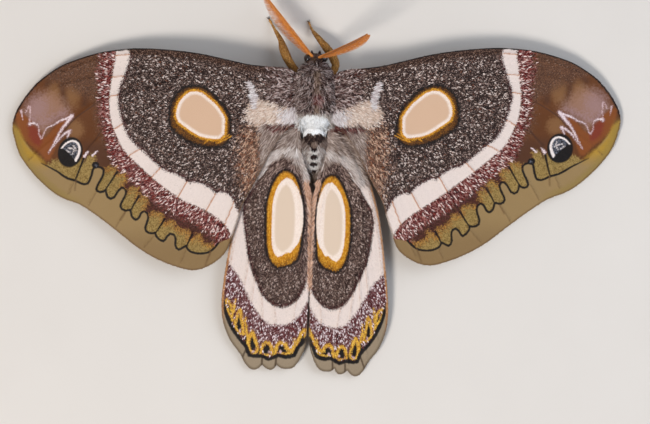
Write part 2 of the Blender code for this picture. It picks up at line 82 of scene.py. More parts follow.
# A wing's outline: (out, forward) from the middle line, once round from the root's front corner
OUTLINES = {
    "forewing": (
        (2.6, 9.6), (4.6, 10.9), (8.1, 11.3), (11.7, 11.7), (15.3, 12.5), (20.7, 13.7), (26.1, 14.4),
        (31.5, 14.7), (35.1, 14.5), (38.7, 14.0), (42.3, 13.0), (45.9, 11.6), (49.5, 9.2), (51.3, 7.4),
        (52.8, 5.5), (54.0, 3.5), (54.6, 1.7), (54.7, 0.0), (54.4, -1.4), (53.9, -3.2), (53.2, -4.8),
        (52.1, -6.4), (50.7, -8.1), (49.1, -9.7), (47.3, -11.2), (45.4, -12.3), (42.3, -13.5),
        (38.7, -15.9), (35.1, -18.7), (31.5, -21.5), (27.9, -23.5), (24.3, -24.8), (21.6, -25.2),
        (18.9, -24.3), (16.3, -22.2), (14.9, -19.0), (13.9, -16.2), (12.9, -13.2), (10.6, -9.0),
        (7.8, -3.7), (5.6, -0.6), (2.6, 2.4),
    ),
    "hindwing": (
        (2.4, 2.6), (5.4, 0.9), (8.2, -2.6), (10.8, -7.5), (12.8, -13.0), (14.0, -18.5), (14.9, -24.0),
        (15.5, -28.5), (15.7, -32.3), (15.3, -35.2), (14.1, -38.2), (12.2, -40.8), (11.2, -42.6),
        (10.2, -43.5), (9.1, -43.5), (8.2, -42.7), (7.5, -43.3), (6.7, -43.6), (6.0, -43.3),
        (5.6, -42.6), (4.9, -43.2), (3.7, -43.4), (2.6, -43.1), (1.8, -42.2), (1.1, -40.9),
        (0.5, -39.3), (0.25, -37.0), (0.2, -32.0), (0.2, -26.0), (0.2, -20.0), (0.2, -14.0),
        (0.3, -10.4), (1.0, -7.6), (1.9, -5.0), (2.2, -2.0),
    ),
}
SHARP_CORNERS = {"forewing": (0, -1), "hindwing": (0, 15, 19, -1)}
VEINS = {
    "forewing": (
        ((3.6, 9.3), (9.0, 10.2), (18.0, 12.0), (30.0, 13.6), (38.0, 13.0), (46.0, 10.2)),
        ((3.6, 8.2), (12.0, 9.2), (22.0, 10.2), (33.0, 9.8), (43.0, 8.8), (50.5, 5.6)),
        ((24.5, 9.4), (31.0, 7.0), (37.5, 5.9), (42.0, 3.2), (46.5, -1.0), (51.8, -5.4)),
        ((25.5, 7.6), (30.0, 3.8), (35.8, 0.4), (40.8, -3.4), (44.4, -11.4)),
        ((24.8, 0.4), (29.0, -2.4), (33.0, -4.3), (37.6, -8.5), (40.9, -13.6)),
        ((22.4, -2.2), (27.0, -6.0), (31.5, -11.0), (34.6, -15.4), (36.0, -17.6)),
        ((3.6, 6.6), (10.0, 3.8), (16.0, -0.8), (20.5, -5.5), (24.0, -11.0), (28.2, -18.0), (30.9, -21.2)),
        ((12.6, 0.9), (15.6, -6.5), (18.6, -12.8), (21.6, -18.0), (24.2, -24.0)),
        ((4.4, 4.0), (9.6, -1.2), (13.0, -8.5), (15.6, -15.5), (19.4, -23.6)),
    ),
    "hindwing": (
        ((3.2, 1.4), (7.0, -2.0), (10.4, -8.5), (12.4, -15.0), (13.8, -22.0), (15.0, -31.5)),
        ((3.3, 0.2), (6.6, -4.2), (9.2, -11.0), (10.4, -19.5), (11.6, -28.0), (14.0, -37.0)),
        ((9.7, -14.2), (9.6, -24.0), (10.4, -32.0), (11.9, -40.2)),
        ((9.0, -24.8), (8.2, -34.0), (8.2, -41.8)),
        ((7.2, -26.4), (5.9, -34.0), (5.6, -41.8)),
        ((3.2, -1.2), (4.4, -5.0), (3.0, -9.0), (1.6, -14.0), (1.3, -20.0), (1.6, -27.0), (2.6, -34.0),
         (2.4, -41.8)),
    ),
}
# How each wing is held: its turn in degrees, stretch, lean and shift
PLACEMENT = {
    "forewing_left": (0.0, (1.0, 1.0), 0.0, (0.0, 0.0)),
    "forewing_right": (1.2, (1.017, 0.974), 0.073, (0.0, -0.25)),
    "hindwing_left": (0.9, (1.003, 0.995), -0.005, (0.37, 0.06)),
    "hindwing_right": (-6.9, (0.915, 0.985), -0.078, (-0.1, -1.1)),
}
WING_PIVOT = np.array((6.3, 6.3))
LIE_CENTRE = {"forewing": np.array((1.5, 7.8)), "hindwing": np.array((0.5, 1.5))}  # scales point away from it

# Places seen in the photograph, in its pixels. MIDDLE is the pixel of x = 0, y = 0.
PIXEL = 0.18
MIDDLE = (315.0, 130.0)
# Markings that the two sides share: the left one's pixel, then the right one's
TWINS = {
    "forewing": (
        ((69.5, 151), (562, 147)), ((200, 116), (428, 115)), ((118, 100), (512, 98)),
        ((239, 209), (385, 212)), ((200, 254), (428, 251)), ((79, 183), (545, 179)),
        ((155, 205), (470, 197)),
    ),
    "hindwing": (
        ((285, 219), (333.5, 223.5)), ((281, 308), (331, 310)), ((246, 240), (371, 249)),
        ((262, 367), (344.5, 372)), ((277, 257), (336, 262)), ((285, 175), (333, 180)),
    ),
}
TWIN_SOFTNESS = 4.0

# Forewing markings, pixels of the left wing
BAND_INNER = (
    (130, 57), (127, 68), (119, 90), (118, 103), (123, 124), (131, 140), (144, 152), (160, 167),
    (167, 171.5), (175, 173.6), (184, 178.4), (190.2, 183.4), (193.5, 181.6), (203, 184.4), (211, 188.4),
    (216.2, 194), (219.4, 191.6), (226.5, 193), (232.4, 198), (236.6, 208.6), (240, 213), (241.5, 221),
)
BAND_OUTER = (
    (231, 243), (230, 233), (220, 220), (204, 210), (186, 202), (170, 192), (152, 178), (137, 164),
    (124, 151), (116, 136), (110, 118), (109, 98), (112, 74), (115, 60),
)
WINDOW = (
    (190.6, 92), (196.9, 91.4), (202.5, 93.2), (208.8, 98), (214.6, 102.9), (219.6, 108.5), (222.9, 113.5),
    (225.4, 118), (225.3, 126), (224.6, 134.8), (220.6, 138.7), (213.1, 139), (201.9, 137), (194.4, 133.2),
    (186.9, 128), (178.4, 121.6), (176.4, 116), (177.2, 108.5), (179.6, 102), (185, 95.8),
)
WINDOW_SHADE = (
    (189, 86.5), (199, 86), (210, 91), (220, 102), (228, 113), (231, 126), (230, 138), (223, 146),
    (209, 147.5), (195, 144), (181, 137), (171, 127), (170, 113), (174, 98), (181, 90),
)
WINDOW_TUFTS = (
    ((214, 141), (222, 139), (230, 134.5)),
    ((217, 143), (225, 140), (232, 136)),
    ((208, 140.5), (205, 143.5)),
)
OCELLUS, OCELLUS_HALF, OCELLUS_TURN = (69.5, 152.0), (14.4, 11.6), 73.0
OCELLUS_PUPIL = ((56, 149), (63, 149), (70, 155), (75, 162), (74, 170), (60, 170), (52, 158))
OCELLUS_CRESCENT = (
    (60.2, 148.6), (65.3, 143.2), (72, 140.6), (77, 143), (79, 149), (77.6, 155), (74.6, 160.4),
)
OCELLUS_FLECKS = (
    ((68, 147.6), (73.4, 149.4), (71.6, 153.4)),
    ((73.2, 145.6), (75.4, 150.2)),
    ((66, 150.2), (69.4, 152.6)),
)
BLOB = (95, 165)  # the black spot beside the ocellus
TOPS = (  # where the khaki lobes begin, beyond the maroon hair
    (46, 165.6), (50, 161.6), (54, 159.6), (62, 160.6), (76, 161), (80, 158.5), (83, 157.5), (86, 157),
    (89.5, 155), (93, 153.8), (95.5, 156), (94.5, 160), (94.5, 163), (97, 166.5), (101, 167.5),
    (104.5, 168.8), (107.5, 167.3), (110.5, 165.8), (114.3, 164.7), (117, 165.5), (117.8, 168.5),
    (117.1, 173.3), (119, 173), (122.1, 171.4), (125.5, 172.4), (127, 176), (126.6, 180.4), (124.6, 184),
    (123.4, 186.8), (125, 189), (127, 190.6), (130.7, 187.3), (135, 186.1), (138.6, 187.3), (140.8, 190.8),
    (139.2, 195), (137.8, 198.7), (139.6, 197.2), (142.1, 194.9), (145.7, 195.6), (147.4, 199.5),
    (147.4, 206), (145.6, 210.2), (148, 213.4), (150.7, 212.6), (154.3, 211.8), (159.3, 211.9),
    (163.2, 214), (164.8, 217.4), (163.6, 221), (166, 221.8), (169.3, 219.8), (172.9, 220.5), (175.5, 224),
    (178, 226.9), (184.3, 229.5), (190, 230.6), (191.8, 234), (190.8, 238), (194.5, 235.6), (198.5, 232.9),
    (201.2, 234), (201.6, 239), (205.5, 241.2), (210.5, 243.6), (214.3, 242.8), (217, 244.5),
)
SHORE = (  # the black line round the lobes' feet
    (40, 163), (48, 167), (55.9, 171.2), (61.4, 175.1), (67, 178.4), (73.1, 180.1), (78.1, 182.3),
    (83.1, 184.2), (87, 183.4), (89.2, 179.6), (90.9, 175.1), (92.3, 169.6), (94, 166.6), (97.4, 166.6),
    (100.9, 167.6), (103.1, 169.6), (102.8, 174), (100.3, 179.6), (97, 185.1), (95.7, 189), (97, 191.2),
    (99.8, 192.1), (103.4, 191.2), (105.2, 189.6), (105.5, 192.5), (107.1, 196.9), (110, 198.7),
    (113.6, 197.3), (117.1, 191.9), (121.4, 187.6), (124.3, 188.3), (125.7, 191.1), (125, 195.4),
    (121.4, 201.9), (120, 206.1), (121.4, 209), (125, 210.7), (129.3, 209.9), (130.5, 211.5),
    (131.4, 216.1), (135, 219.7), (138.6, 217.6), (140.7, 213.3), (144.3, 211.1), (147.2, 213.5),
    (148, 217), (147, 221.5), (145, 227.6), (145.7, 231.1), (148.6, 233), (152.1, 233.3), (155, 232.8),
    (155.9, 236.1), (159.3, 239.7), (162.9, 241.4), (165, 239.7), (167.1, 236.1), (170, 233.7),
    (173.6, 234.7), (175.4, 239), (175, 244.7), (176.4, 248.3), (178.6, 249.7), (182.9, 247.6),
    (186, 245.8), (187, 248.2), (190, 251.4), (197.1, 253.5), (205.7, 253), (210.5, 251.3), (213.5, 248.8),
    (216.5, 245.5), (219, 242),
)
WALLS = (  # the black lines between the lobes of a pair
    ((74.5, 179.8), (78.5, 170), (83.1, 158.4)), ((105.2, 189), (110.8, 181), (117.3, 171)),
    ((130.2, 210.6), (133.8, 204), (138.8, 196)), ((155.3, 233.2), (160.5, 225.6), (164.5, 219)),
    ((186.4, 246.5), (189, 240.5), (192.3, 234.5)),
)
# Painted shade: dark lines where the margin is creased
MARGIN_CREASE_SHADE_LINES = (
    ((205.5, 265), (208, 258), (210.5, 251.5)),
    ((120, 220), (125, 212)),
    ((74, 190), (75, 181)),
)
LILAC = (
    (24, 112), (32, 98), (44, 91), (56, 96), (66, 105), (69, 113), (60, 117), (50, 125), (41, 134),
    (37, 127), (29, 121),
)
APEX_RED = ((15, 112), (30, 120), (41, 138), (60, 120), (71, 116), (60, 134), (48, 160), (38, 152),
            (27, 143), (17, 130))
APEX_CRIMSON = ((27, 125), (36, 127), (41, 138), (38, 146), (29, 139))
APEX_YELLOW = ((11, 125), (17, 129), (25, 145), (35, 154.5), (43, 161.5), (47, 166.5), (40, 174), (8, 152))
FLAMES = (  # white: their pixels, then the width in pixels at the start and the end
    (((28, 124), (31.5, 122.6), (36, 124.3)), 2.4, 1.0),
    (((45, 128.1), (47.8, 126.4), (50.6, 125.3), (53.9, 124.0)), 0.4, 0.9),
    (((53.9, 124.0), (57.2, 121.6), (61.7, 119.4), (66.1, 118.1), (71, 116)), 0.9, 2.4),
    (((71.3, 115.6), (66.5, 122), (62.6, 127), (59.0, 132.2), (54.5, 140.6), (51, 147), (47.4, 153)),
     3.5, 0.2),
    (((69.6, 130.6), (66, 132.2), (62.6, 134.6), (58.4, 138.8), (55, 143.2), (51.9, 147.6)), 2.0, 0.2),
    (((69.2, 130.8), (67.6, 135), (66, 138.6)), 1.9, 0.3),
)
PALE_FLAMES = (  # the lilac ones
    (((28.6, 106), (28.9, 112), (28.4, 119)), 1.6, 0.8),
    (((27.6, 106), (24, 112)), 0.9, 0.7),
    (((19.6, 110), (21.2, 119)), 2.3, 0.5),
    (((28.3, 119), (28.4, 123)), 1.0, 1.2),
    (((36.5, 124), (38, 129), (37.5, 133), (40.2, 138.2)), 0.9, 1.3),
    (((40.5, 138), (43.3, 132.5)), 1.2, 1.0),
    (((43.3, 132), (45, 128.1)), 0.8, 0.7),
)
TICKS = ((((87.4, 151.5), (83.7, 156.3)), 1.6, 3.0), (((96.6, 151.4), (92, 155.2)), 1.3, 2.3))
TIP_VEINS = (
    ((101, 99.5), (92, 106), (83, 112), (72, 120.6), (61, 134), (51, 148)),
    ((105, 125), (94, 140.7), (88, 148), (86, 157), (84, 162)),
)
APEX_LIGHTS = (((53, 94), 7, 12), ((72, 93), 8, 13), ((75, 129), 8, 9))
APEX_STREAKS = (
    ((62, 80), (62.5, 95), (65, 108)),
    ((84, 72), (85, 90), (84, 104)),
    ((46, 84), (50, 78), (58, 70)),
)
LILAC_PALE = ((36, 108), 11, 12)
LILAC_GLOW = ((30, 119), (38, 124), (46, 121), (55, 117), (64, 112))
ANTEMEDIAN = (
    (247, 118), (253, 105), (262, 102), (285, 110), (302, 112), (303, 122), (290, 125.5), (268, 125.5),
    (256, 124),
)
ANTEMEDIAN_LINE = ((255, 107), (255, 100), (253, 93), (252, 88), (249, 83.5))
WARM_GROUND = (
    (243, 128), (262, 128), (276, 133), (268, 150), (258, 178), (246, 196), (240, 176), (240, 146),
)
# Corners well past the wing, which close the outlines that a boundary line opens
TIP_CORNERS = ((114, 20), (-40, 20), (-40, 320), (231, 320))
BAND_FOOT, BAND_HEAD = ((250, 225), (240, 250)), ((117, 40), (128, 40))
MARGIN_CORNERS = ((236, 236), (236, 300), (-40, 300), (-40, 124), (10, 124), (22, 140))
LOBE_CORNERS = ((222, 262), (150, 262), (60, 200), (44, 172))
# Where the forewing's zones fade in: the pixel where one starts and the pixel where it is full
COSTAL_DOWN = (62, 46)  # of a line that leans with the front edge
BROWN_DOWN = (108, 122)
DUSK_DOWN = ((135, 150), (182, 168))
YELLOW_DOWN = (174, 154)
OLIVE_DOWN, OLIVE_ACROSS = (118, 134), (90, 60)
DEEP_TOPS_ACROSS, TOPS_ACROSS = (130, 190), (88, 104)
MAROON_DOWN, MAROON_ACROSS = (95, 70), (102, 116)
RIM_ACROSS = (106, 118)
MARGIN_DARK_DOWN = (220, 250)

# Hindwing markings, pixels of the left wing
HIND_DARK = (
    (243, 205), (245, 235), (248, 258), (252, 272), (257, 285), (262, 295), (268, 302), (275, 306),
    (282, 308), (289, 306), (296, 301), (301, 295), (306, 283), (309, 262), (311, 232), (309, 205),
    (305, 187), (298, 167), (288, 156), (279, 158), (268, 166), (255, 184),
)
HIND_ORANGE = (
    (284, 171), (277, 177.5), (271, 190), (267.6, 203), (266.8, 220), (266.8, 240), (268.4, 254),
    (272.4, 262.4), (277.6, 267), (283.4, 265.6), (290.5, 264), (296.2, 259.4), (299.2, 250.5),
    (300.6, 240), (302.6, 226), (303, 212), (301.6, 199), (298.6, 186), (292.5, 174),
)
HIND_WINDOW = (
    (287, 177), (281.4, 181), (276, 190), (272.8, 203), (271.8, 220), (271.6, 240), (273.2, 251),
    (277.6, 257.2), (282.4, 255.4), (286.4, 252.4), (290.6, 252.8), (294.6, 247.6), (298.2, 243.4),
    (300.8, 236), (302.8, 225), (303.2, 212), (301.8, 200), (297.8, 188), (293, 180),
)
HIND_GLASS = (
    (286.5, 184), (281.5, 188.5), (277, 199), (275, 215), (274.6, 236), (276.4, 247), (281.5, 252),
    (287, 249.5), (291.5, 244.5), (294, 236), (295, 220), (294.6, 205), (292, 192),
)
HIND_BAND_OUTER = (
    (224, 255), (230, 265), (239, 277), (250, 300), (262, 319), (271, 324), (281, 325), (291, 323),
    (300, 314), (306, 304), (314, 294),
)
LUNULE_STROKES = (  # the yellow arches: their pixels, then the width in pixels at the start and the end
    (((226.6, 299), (230.3, 304.2), (231.2, 308), (232.3, 313.3), (231.4, 317), (232.5, 320)), 2.0, 2.4),
    (((225.2, 300), (225.4, 304.2), (226.2, 308.7), (228, 313.3), (230.3, 315.5)), 2.2, 2.0),
    (((235.5, 299.5), (233.9, 306), (233.5, 310.5), (232.1, 314.2)), 1.6, 2.0),
    (((240.3, 309.6), (237.5, 313.3), (236.2, 318.7), (234.8, 324.2), (235.4, 328.7), (238, 332.4),
      (241.2, 333.9)), 2.4, 1.6),
    (((240.3, 309.6), (240.9, 315.1), (241.7, 320.5), (242.6, 326), (242.7, 330.5), (243.3, 334)),
     2.2, 2.6),
    (((245.7, 317.5), (245.4, 323.3), (246.2, 329.6), (246.8, 335.5)), 1.4, 2.2),
    (((252.1, 332.6), (249.5, 336.1), (248.1, 341.1), (248.3, 346.9), (250.4, 352.2)), 3.2, 1.8),
    (((252.1, 332.6), (254.3, 337.6), (256.0, 342.6), (257.1, 347.6), (256.2, 352.2), (252.9, 354)),
     3.0, 1.6),
    (((260.5, 353), (261.7, 348.4), (263.0, 344.6), (266.4, 342.4), (269.2, 343.4), (271.0, 346.6),
      (272.2, 352)), 2.2, 2.6),
    (((260.9, 353.4), (264.3, 355.2), (268.4, 355.6), (272.7, 354)), 1.0, 1.4),
    (((275, 353.5), (275.9, 349.1), (277.3, 345.4), (280, 342.8), (282.7, 343.4), (285.5, 344.7),
      (286.6, 348.2), (289.3, 350), (291.8, 349.8), (293.5, 346.5)), 2.4, 3.2),
    (((294.6, 338.5), (294.3, 343.5), (293.2, 348.2)), 1.4, 2.4),
    (((276.4, 354.7), (281, 353.6), (285.5, 354.1), (291.8, 352.7), (295.5, 350.6)), 1.2, 1.4),
    (((296.9, 345.6), (297.7, 340.9), (300, 337), (302, 332.7), (304.7, 330)), 2.2, 2.8),
    (((305, 331), (304.8, 336.4), (305.2, 340), (302.7, 343.4), (298.2, 344.9)), 2.2, 1.4),
)
LUNULE_DARKS = (  # black inside the arches: the centre, half width, half height and turn
    ((229, 311), 1.6, 4.6, -12), ((239.2, 323.4), 2.4, 8.4, -8), ((252.3, 344), 3.2, 8.0, -8),
    ((266.6, 349.6), 3.6, 4.6, 0), ((282.3, 349.8), 5.2, 3.4, 0), ((301.6, 339.4), 2.6, 4.6, 22),
    ((229.4, 321), 2.0, 6.0, -16), ((245.6, 345), 1.6, 8.0, -10), ((259.2, 353), 1.4, 5.0, 0),
    ((273.8, 352.5), 1.2, 4.0, 0), ((288.4, 354.4), 6.0, 1.8, -6),
)
LUNULE_DOTS = (
    ((280.3, 352.2), 1.3, 1.7), ((269, 352.4), 1.1, 1.1), ((252.9, 352), 1.5, 1.1), ((239.6, 331), 0.9, 1.8),
)
HIND_LINE = (
    (222, 296), (225, 312), (231, 327), (238, 338), (246, 348), (249, 356), (257, 357), (262, 357),
    (268, 360), (274, 358), (278, 356), (285, 358), (294, 356), (298, 348), (306, 340), (310, 334),
)
# Painted shade: dark lines where the hindwing's margin is creased
HIND_CREASE_SHADE_LINES = (((262, 357), (261, 372)), ((276, 357), (275, 369)), ((246, 349), (240, 362)))
PALE_ARC = ((311, 176), (306, 164), (298, 152), (290, 148), (279, 151), (268, 158), (258, 172))
OLIVE_BASE = ((303, 132), (284, 130), (268, 148), (279, 150), (290, 146), (303, 150))
HIND_CORNERS = ((340, 294), (340, 420), (180, 420), (180, 240))  # past the wing, to close the outlines
HIND_MARGIN_CORNERS = ((330, 334), (330, 420), (190, 420), (190, 296))

# Body markings, pixels
COLLAR = (
    (301.5, 117), (314, 115), (326.5, 117), (328, 127), (326, 137), (319.5, 134.5), (314, 136),
    (308.5, 134.5), (302.5, 137), (300.5, 127),
)
TRIANGLE = (
    (303, 137), (308.5, 134.5), (314, 136.5), (319.5, 134.5), (325, 137), (320, 145), (314, 151),
    (308, 145),
)
TRIANGLE_TOP = ((314.5, 145), (3.4, 2.4))
THORAX_RED = ((318, 101), (6, 6))
BACK_SPOTS = (((314, 151), 3.6, 1.8), ((314, 157.8), 4.3, 2.6), ((313.3, 165.2), 4.2, 2.5),
              ((313, 172), 3.4, 1.6), ((312.8, 176.6), 2.5, 1.0))

# Colours of the scales in each zone, 0 to 255, each with its share
PALETTES = {
    "ground": (((18, 8, 6), 5.0), ((44, 27, 22), 2.8), ((84, 61, 53), 1.5), ((142, 118, 108), 0.9),
               ((214, 196, 187), 0.46), ((120, 66, 40), 0.35)),
    "hind_ground": (((26, 12, 9), 3.1), ((60, 38, 31), 2.9), ((92, 69, 60), 1.8), ((138, 112, 101), 0.9),
                    ((190, 168, 157), 0.34)),
    "warm": (((36, 20, 15), 2.9), ((88, 58, 46), 2.4), ((140, 104, 84), 1.9), ((204, 168, 142), 1.0),
             ((146, 80, 46), 0.9)),
    "band": (((220, 203, 194), 5), ((228, 214, 206), 3), ((208, 187, 177), 1.2)),
    "band_rim": (((32, 11, 12), 2.4), ((66, 22, 24), 1.6), ((98, 52, 48), 0.6)),
    "vein_line": (((178, 122, 88), 1),),
    "maroon": (((30, 6, 7), 4.2), ((106, 22, 20), 3.5), ((142, 58, 50), 1.4), ((180, 130, 122), 0.8),
               ((236, 212, 204), 0.75), ((46, 32, 36), 0.6)),
    "apex": (((94, 50, 17), 3), ((68, 31, 8), 1.7), ((122, 75, 38), 1.5)),
    "apex_light": (((128, 88, 50), 3), ((100, 60, 30), 1.6), ((154, 114, 78), 1.2)),
    "apex_dark": (((78, 46, 28), 1), ((66, 38, 24), 1)),
    "apex_speckle": (((58, 36, 26), 3), ((92, 62, 46), 2.6), ((134, 106, 90), 0.7), ((104, 64, 38), 2.6)),
    "brown": (((90, 48, 16), 3), ((66, 30, 8), 1.7), ((116, 70, 32), 1.5)),
    "lilac": (((146, 104, 80), 3), ((178, 142, 124), 1.6), ((112, 72, 50), 1.7)),
    "orange_red": (((126, 66, 24), 3), ((98, 42, 12), 1.8), ((152, 92, 42), 1.3)),
    "crimson": (((120, 41, 26), 3), ((90, 24, 18), 1.5), ((148, 72, 48), 1.2)),
    "yellow": (((165, 125, 32), 2.4), ((190, 154, 66), 1.6), ((132, 93, 20), 1.3)),
    "olive_edge": (((138, 114, 54), 2), ((118, 96, 44), 1.4), ((152, 128, 66), 1)),
    "khaki": (((150, 121, 78), 3), ((126, 98, 58), 2), ((170, 146, 104), 1.5), ((100, 74, 44), 0.7)),
    "khaki_dark": (((106, 78, 48), 1), ((92, 64, 38), 1)),
    "finger": (((142, 115, 61), 3), ((120, 93, 43), 2), ((166, 140, 86), 1.5), ((90, 66, 32), 0.9)),
    "finger_top": (((184, 130, 52), 1.4), ((150, 100, 44), 1.4), ((104, 56, 28), 1.4), ((60, 28, 18), 1)),
    "black": (((14, 8, 6), 3), ((27, 16, 12), 1)),
    "white": (((236, 224, 218), 3), ((220, 204, 198), 1)),
    "lilac_white": (((204, 174, 174), 2), ((180, 146, 146), 1)),
    "blue_grey": (((24, 20, 24), 2.6), ((82, 85, 98), 1.2), ((136, 138, 146), 0.6), ((54, 52, 60), 1.2)),
    "orange": (((202, 136, 24), 2), ((180, 112, 14), 1.6), ((226, 170, 60), 1.2)),
    "orange_dark": (((92, 54, 14), 2.2), ((58, 34, 14), 1.6), ((138, 86, 20), 1.2)),
    "window_white": (((238, 221, 208), 3), ((228, 206, 190), 1)),
    "window": (((207, 171, 142), 1),),
    "hind_window": (((213, 190, 168), 1),),
    "costa": (((26, 14, 10), 3.4), ((68, 42, 31), 2.4), ((106, 70, 47), 1.0), ((150, 122, 108), 0.4)),
    "edge": (((28, 17, 14), 1),),
    "antemedian": (((216, 193, 176), 3), ((196, 167, 148), 2.0), ((234, 219, 207), 1.6)),
    "antemedian_inner": (((218, 208, 206), 3), ((192, 176, 174), 1.8), ((236, 230, 229), 1.4)),
    "root_fur": (((28, 14, 11), 3.4), ((68, 44, 39), 2.1), ((104, 79, 73), 1.6), ((156, 131, 124), 1.2),
                 ((212, 193, 187), 0.75), ((104, 42, 32), 0.5)),
    "maroon_fur": (((46, 17, 17), 2.2), ((88, 36, 34), 2), ((128, 84, 78), 1)),
    "olive_fur": (((134, 113, 103), 3), ((105, 84, 75), 1.9), ((162, 143, 132), 1.7),
                  ((196, 178, 168), 0.75)),
    "pale_fur": (((206, 192, 184), 3), ((178, 163, 155), 2), ((228, 218, 213), 1.5), ((136, 118, 110), 1.0)),
    "tan_fur": (((204, 158, 130), 2), ((174, 130, 104), 1.7), ((222, 184, 160), 1), ((118, 82, 68), 0.8)),
    "dark_fur": (((44, 28, 24), 3), ((78, 56, 49), 2), ((114, 90, 82), 1.1), ((168, 142, 130), 0.6)),
    "hind_maroon": (((30, 8, 9), 3.9), ((98, 30, 31), 3.3), ((112, 64, 64), 1.7), ((156, 122, 122), 0.85),
                    ((238, 222, 222), 0.7), ((112, 27, 29), 1)),
    "hind_yellow": (((216, 162, 48), 2), ((238, 196, 86), 1.4), ((168, 108, 28), 1.1)),
    "margin": (((142, 124, 100), 3), ((112, 94, 72), 1.8), ((170, 153, 131), 1.7)),
    "margin_dark": (((80, 63, 44), 1), ((66, 49, 34), 1)),
    "hind_edge": (((184, 128, 80), 2), ((150, 98, 56), 1), ((204, 158, 112), 0.8)),
    "flame": (((230, 212, 212), 3), ((210, 184, 186), 1.4)),
    "lilac_pale": (((152, 120, 122), 2.2), ((186, 156, 160), 1.3), ((118, 84, 80), 1.5)),
    "thorax": (((24, 11, 9), 2.7), ((76, 52, 46), 2.0), ((118, 90, 83), 1.7), ((178, 152, 145), 1.8),
               ((234, 216, 210), 1.7)),
    "thorax_mid": (((142, 116, 100), 3), ((176, 150, 130), 2), ((90, 64, 52), 1.4), ((206, 178, 168), 0.9)),
    "thorax_red": (((122, 50, 42), 1.2), ((208, 172, 166), 1.1), ((84, 56, 52), 1.2)),
    "collar": (((254, 252, 251), 4), ((246, 243, 241), 2)),
    "beside_collar": (((204, 190, 180), 2), ((176, 160, 150), 1.4), ((226, 214, 206), 1.4)),
    "triangle": (((40, 25, 22), 3), ((66, 46, 40), 1.6), ((112, 92, 80), 0.6)),
    "triangle_top": (((140, 116, 102), 2), ((166, 146, 134), 1)),
    "back_spot": (((34, 19, 18), 3), ((54, 34, 30), 1)),
    "back_arc": (((232, 225, 220), 3), ((212, 202, 196), 1)),
    "belly": (((150, 128, 112), 2), ((122, 100, 88), 2), ((180, 160, 144), 1)),
    "head": (((60, 40, 36), 2), ((92, 70, 65), 2), ((128, 104, 98), 1.4), ((150, 110, 70), 0.6)),
    "leg": (((204, 148, 74), 2.4), ((172, 116, 52), 2), ((222, 174, 110), 1.4), ((126, 78, 32), 0.6)),
}
# Each zone's scales or hairs: length, width, lift and stray in degrees, bend, share kept. The name ""
# stands for every other zone.
STYLES = {
    "": (0.32, 0.17, 4.0, 10.0, 0.0, 0.55),
    "ground": (0.6, 0.155, 14.0, 44.0, 0.22, 1.0),
    "hind_ground": (0.56, 0.145, 12.0, 34.0, 0.2, 1.0),
    "warm": (0.85, 0.15, 12.0, 30.0, 0.2, 1.0),
    "apex_speckle": (0.5, 0.2, 9.0, 30.0, 0.2, 0.9),
    "band": (0.5, 0.22, 3.0, 8.0, 0.1, 0.55),
    "lilac": (0.3, 0.17, 4.0, 20.0, 0.0, 0.9),
    "band_rim": (0.6, 0.18, 12.0, 20.0, 0.2, 1.0),
    "maroon": (0.8, 0.14, 15.0, 26.0, 0.15, 1.0),
    "hind_maroon": (0.6, 0.14, 13.0, 28.0, 0.18, 1.0),
    "costa": (0.5, 0.16, 7.0, 20.0, 0.1, 0.9),
    "orange": (0.45, 0.14, 10.0, 12.0, 0.1, 1.0),
    "orange_dark": (0.45, 0.14, 10.0, 12.0, 0.1, 1.0),
    "black": (0.3, 0.13, 4.0, 10.0, 0.0, 1.0),
    "white": (0.34, 0.15, 4.0, 10.0, 0.0, 1.0),
    "lilac_white": (0.34, 0.15, 4.0, 10.0, 0.0, 1.0),
    "blue_grey": (0.3, 0.14, 4.0, 60.0, 0.0, 1.0),
    "finger": (0.3, 0.15, 4.0, 20.0, 0.0, 0.9),
    "finger_top": (0.55, 0.14, 8.0, 14.0, 0.1, 1.0),
    "hind_yellow": (0.36, 0.14, 7.0, 14.0, 0.0, 1.0),
    "root_fur": (1.0, 0.11, 14.0, 44.0, 0.26, 1.0),
    "maroon_fur": (1.2, 0.13, 12.0, 16.0, 0.2, 0.9),
    "olive_fur": (1.6, 0.13, 11.0, 10.0, 0.15, 0.8),
    "pale_fur": (1.8, 0.13, 9.0, 8.0, 0.12, 0.9),
    "tan_fur": (1.3, 0.13, 6.0, 14.0, 0.1, 1.0),
    "dark_fur": (0.9, 0.14, 10.0, 12.0, 0.15, 0.9),
    "antemedian": (0.95, 0.15, 8.0, 16.0, 0.15, 1.0),
    "antemedian_inner": (1.2, 0.13, 9.0, 16.0, 0.15, 1.0),
}
SMOOTH = (  # zones that blend into one another
    "apex", "apex_light", "apex_dark", "brown", "olive_edge", "orange_red", "crimson", "yellow", "khaki",
    "khaki_dark", "margin", "margin_dark", "band", "lilac", "lilac_pale",
)
BARE = ("window", "hind_window")
PLACES_TOP = {"forewing": 60000, "hindwing": 48000}
PLACES_UNDER = {"forewing": 16000, "hindwing": 8500}
FRINGE_STEP, FRINGE_LENGTH = 0.1, 0.24
PATCH = 0.003  # of the unwrap, for each scale or hair
UNWRAP_SIZE, UNWRAP_EDGE = 0.98, 0.01
KITE_SINK = 0.05  # how far the foot of a wing's scale lies under the skin
KITE_BELT = 0.45  # where along its length the scale is widest
KITE_THICKNESS, KITE_THICKNESS_SHARE = 0.035, 0.2  # at most, and as a share of its width
KITE_PAINTED_SHADES = (0.82, 0.97, 1.05, 0.97)  # painted shade and light: how light its foot, left side, tip and right side are made, the foot darkened as if shaded by the scales over it
CLUMP, CLUMP_LOOSENESS = 0.17, 1.1  # how wide the clumps of light and dark hair are, and how mixed

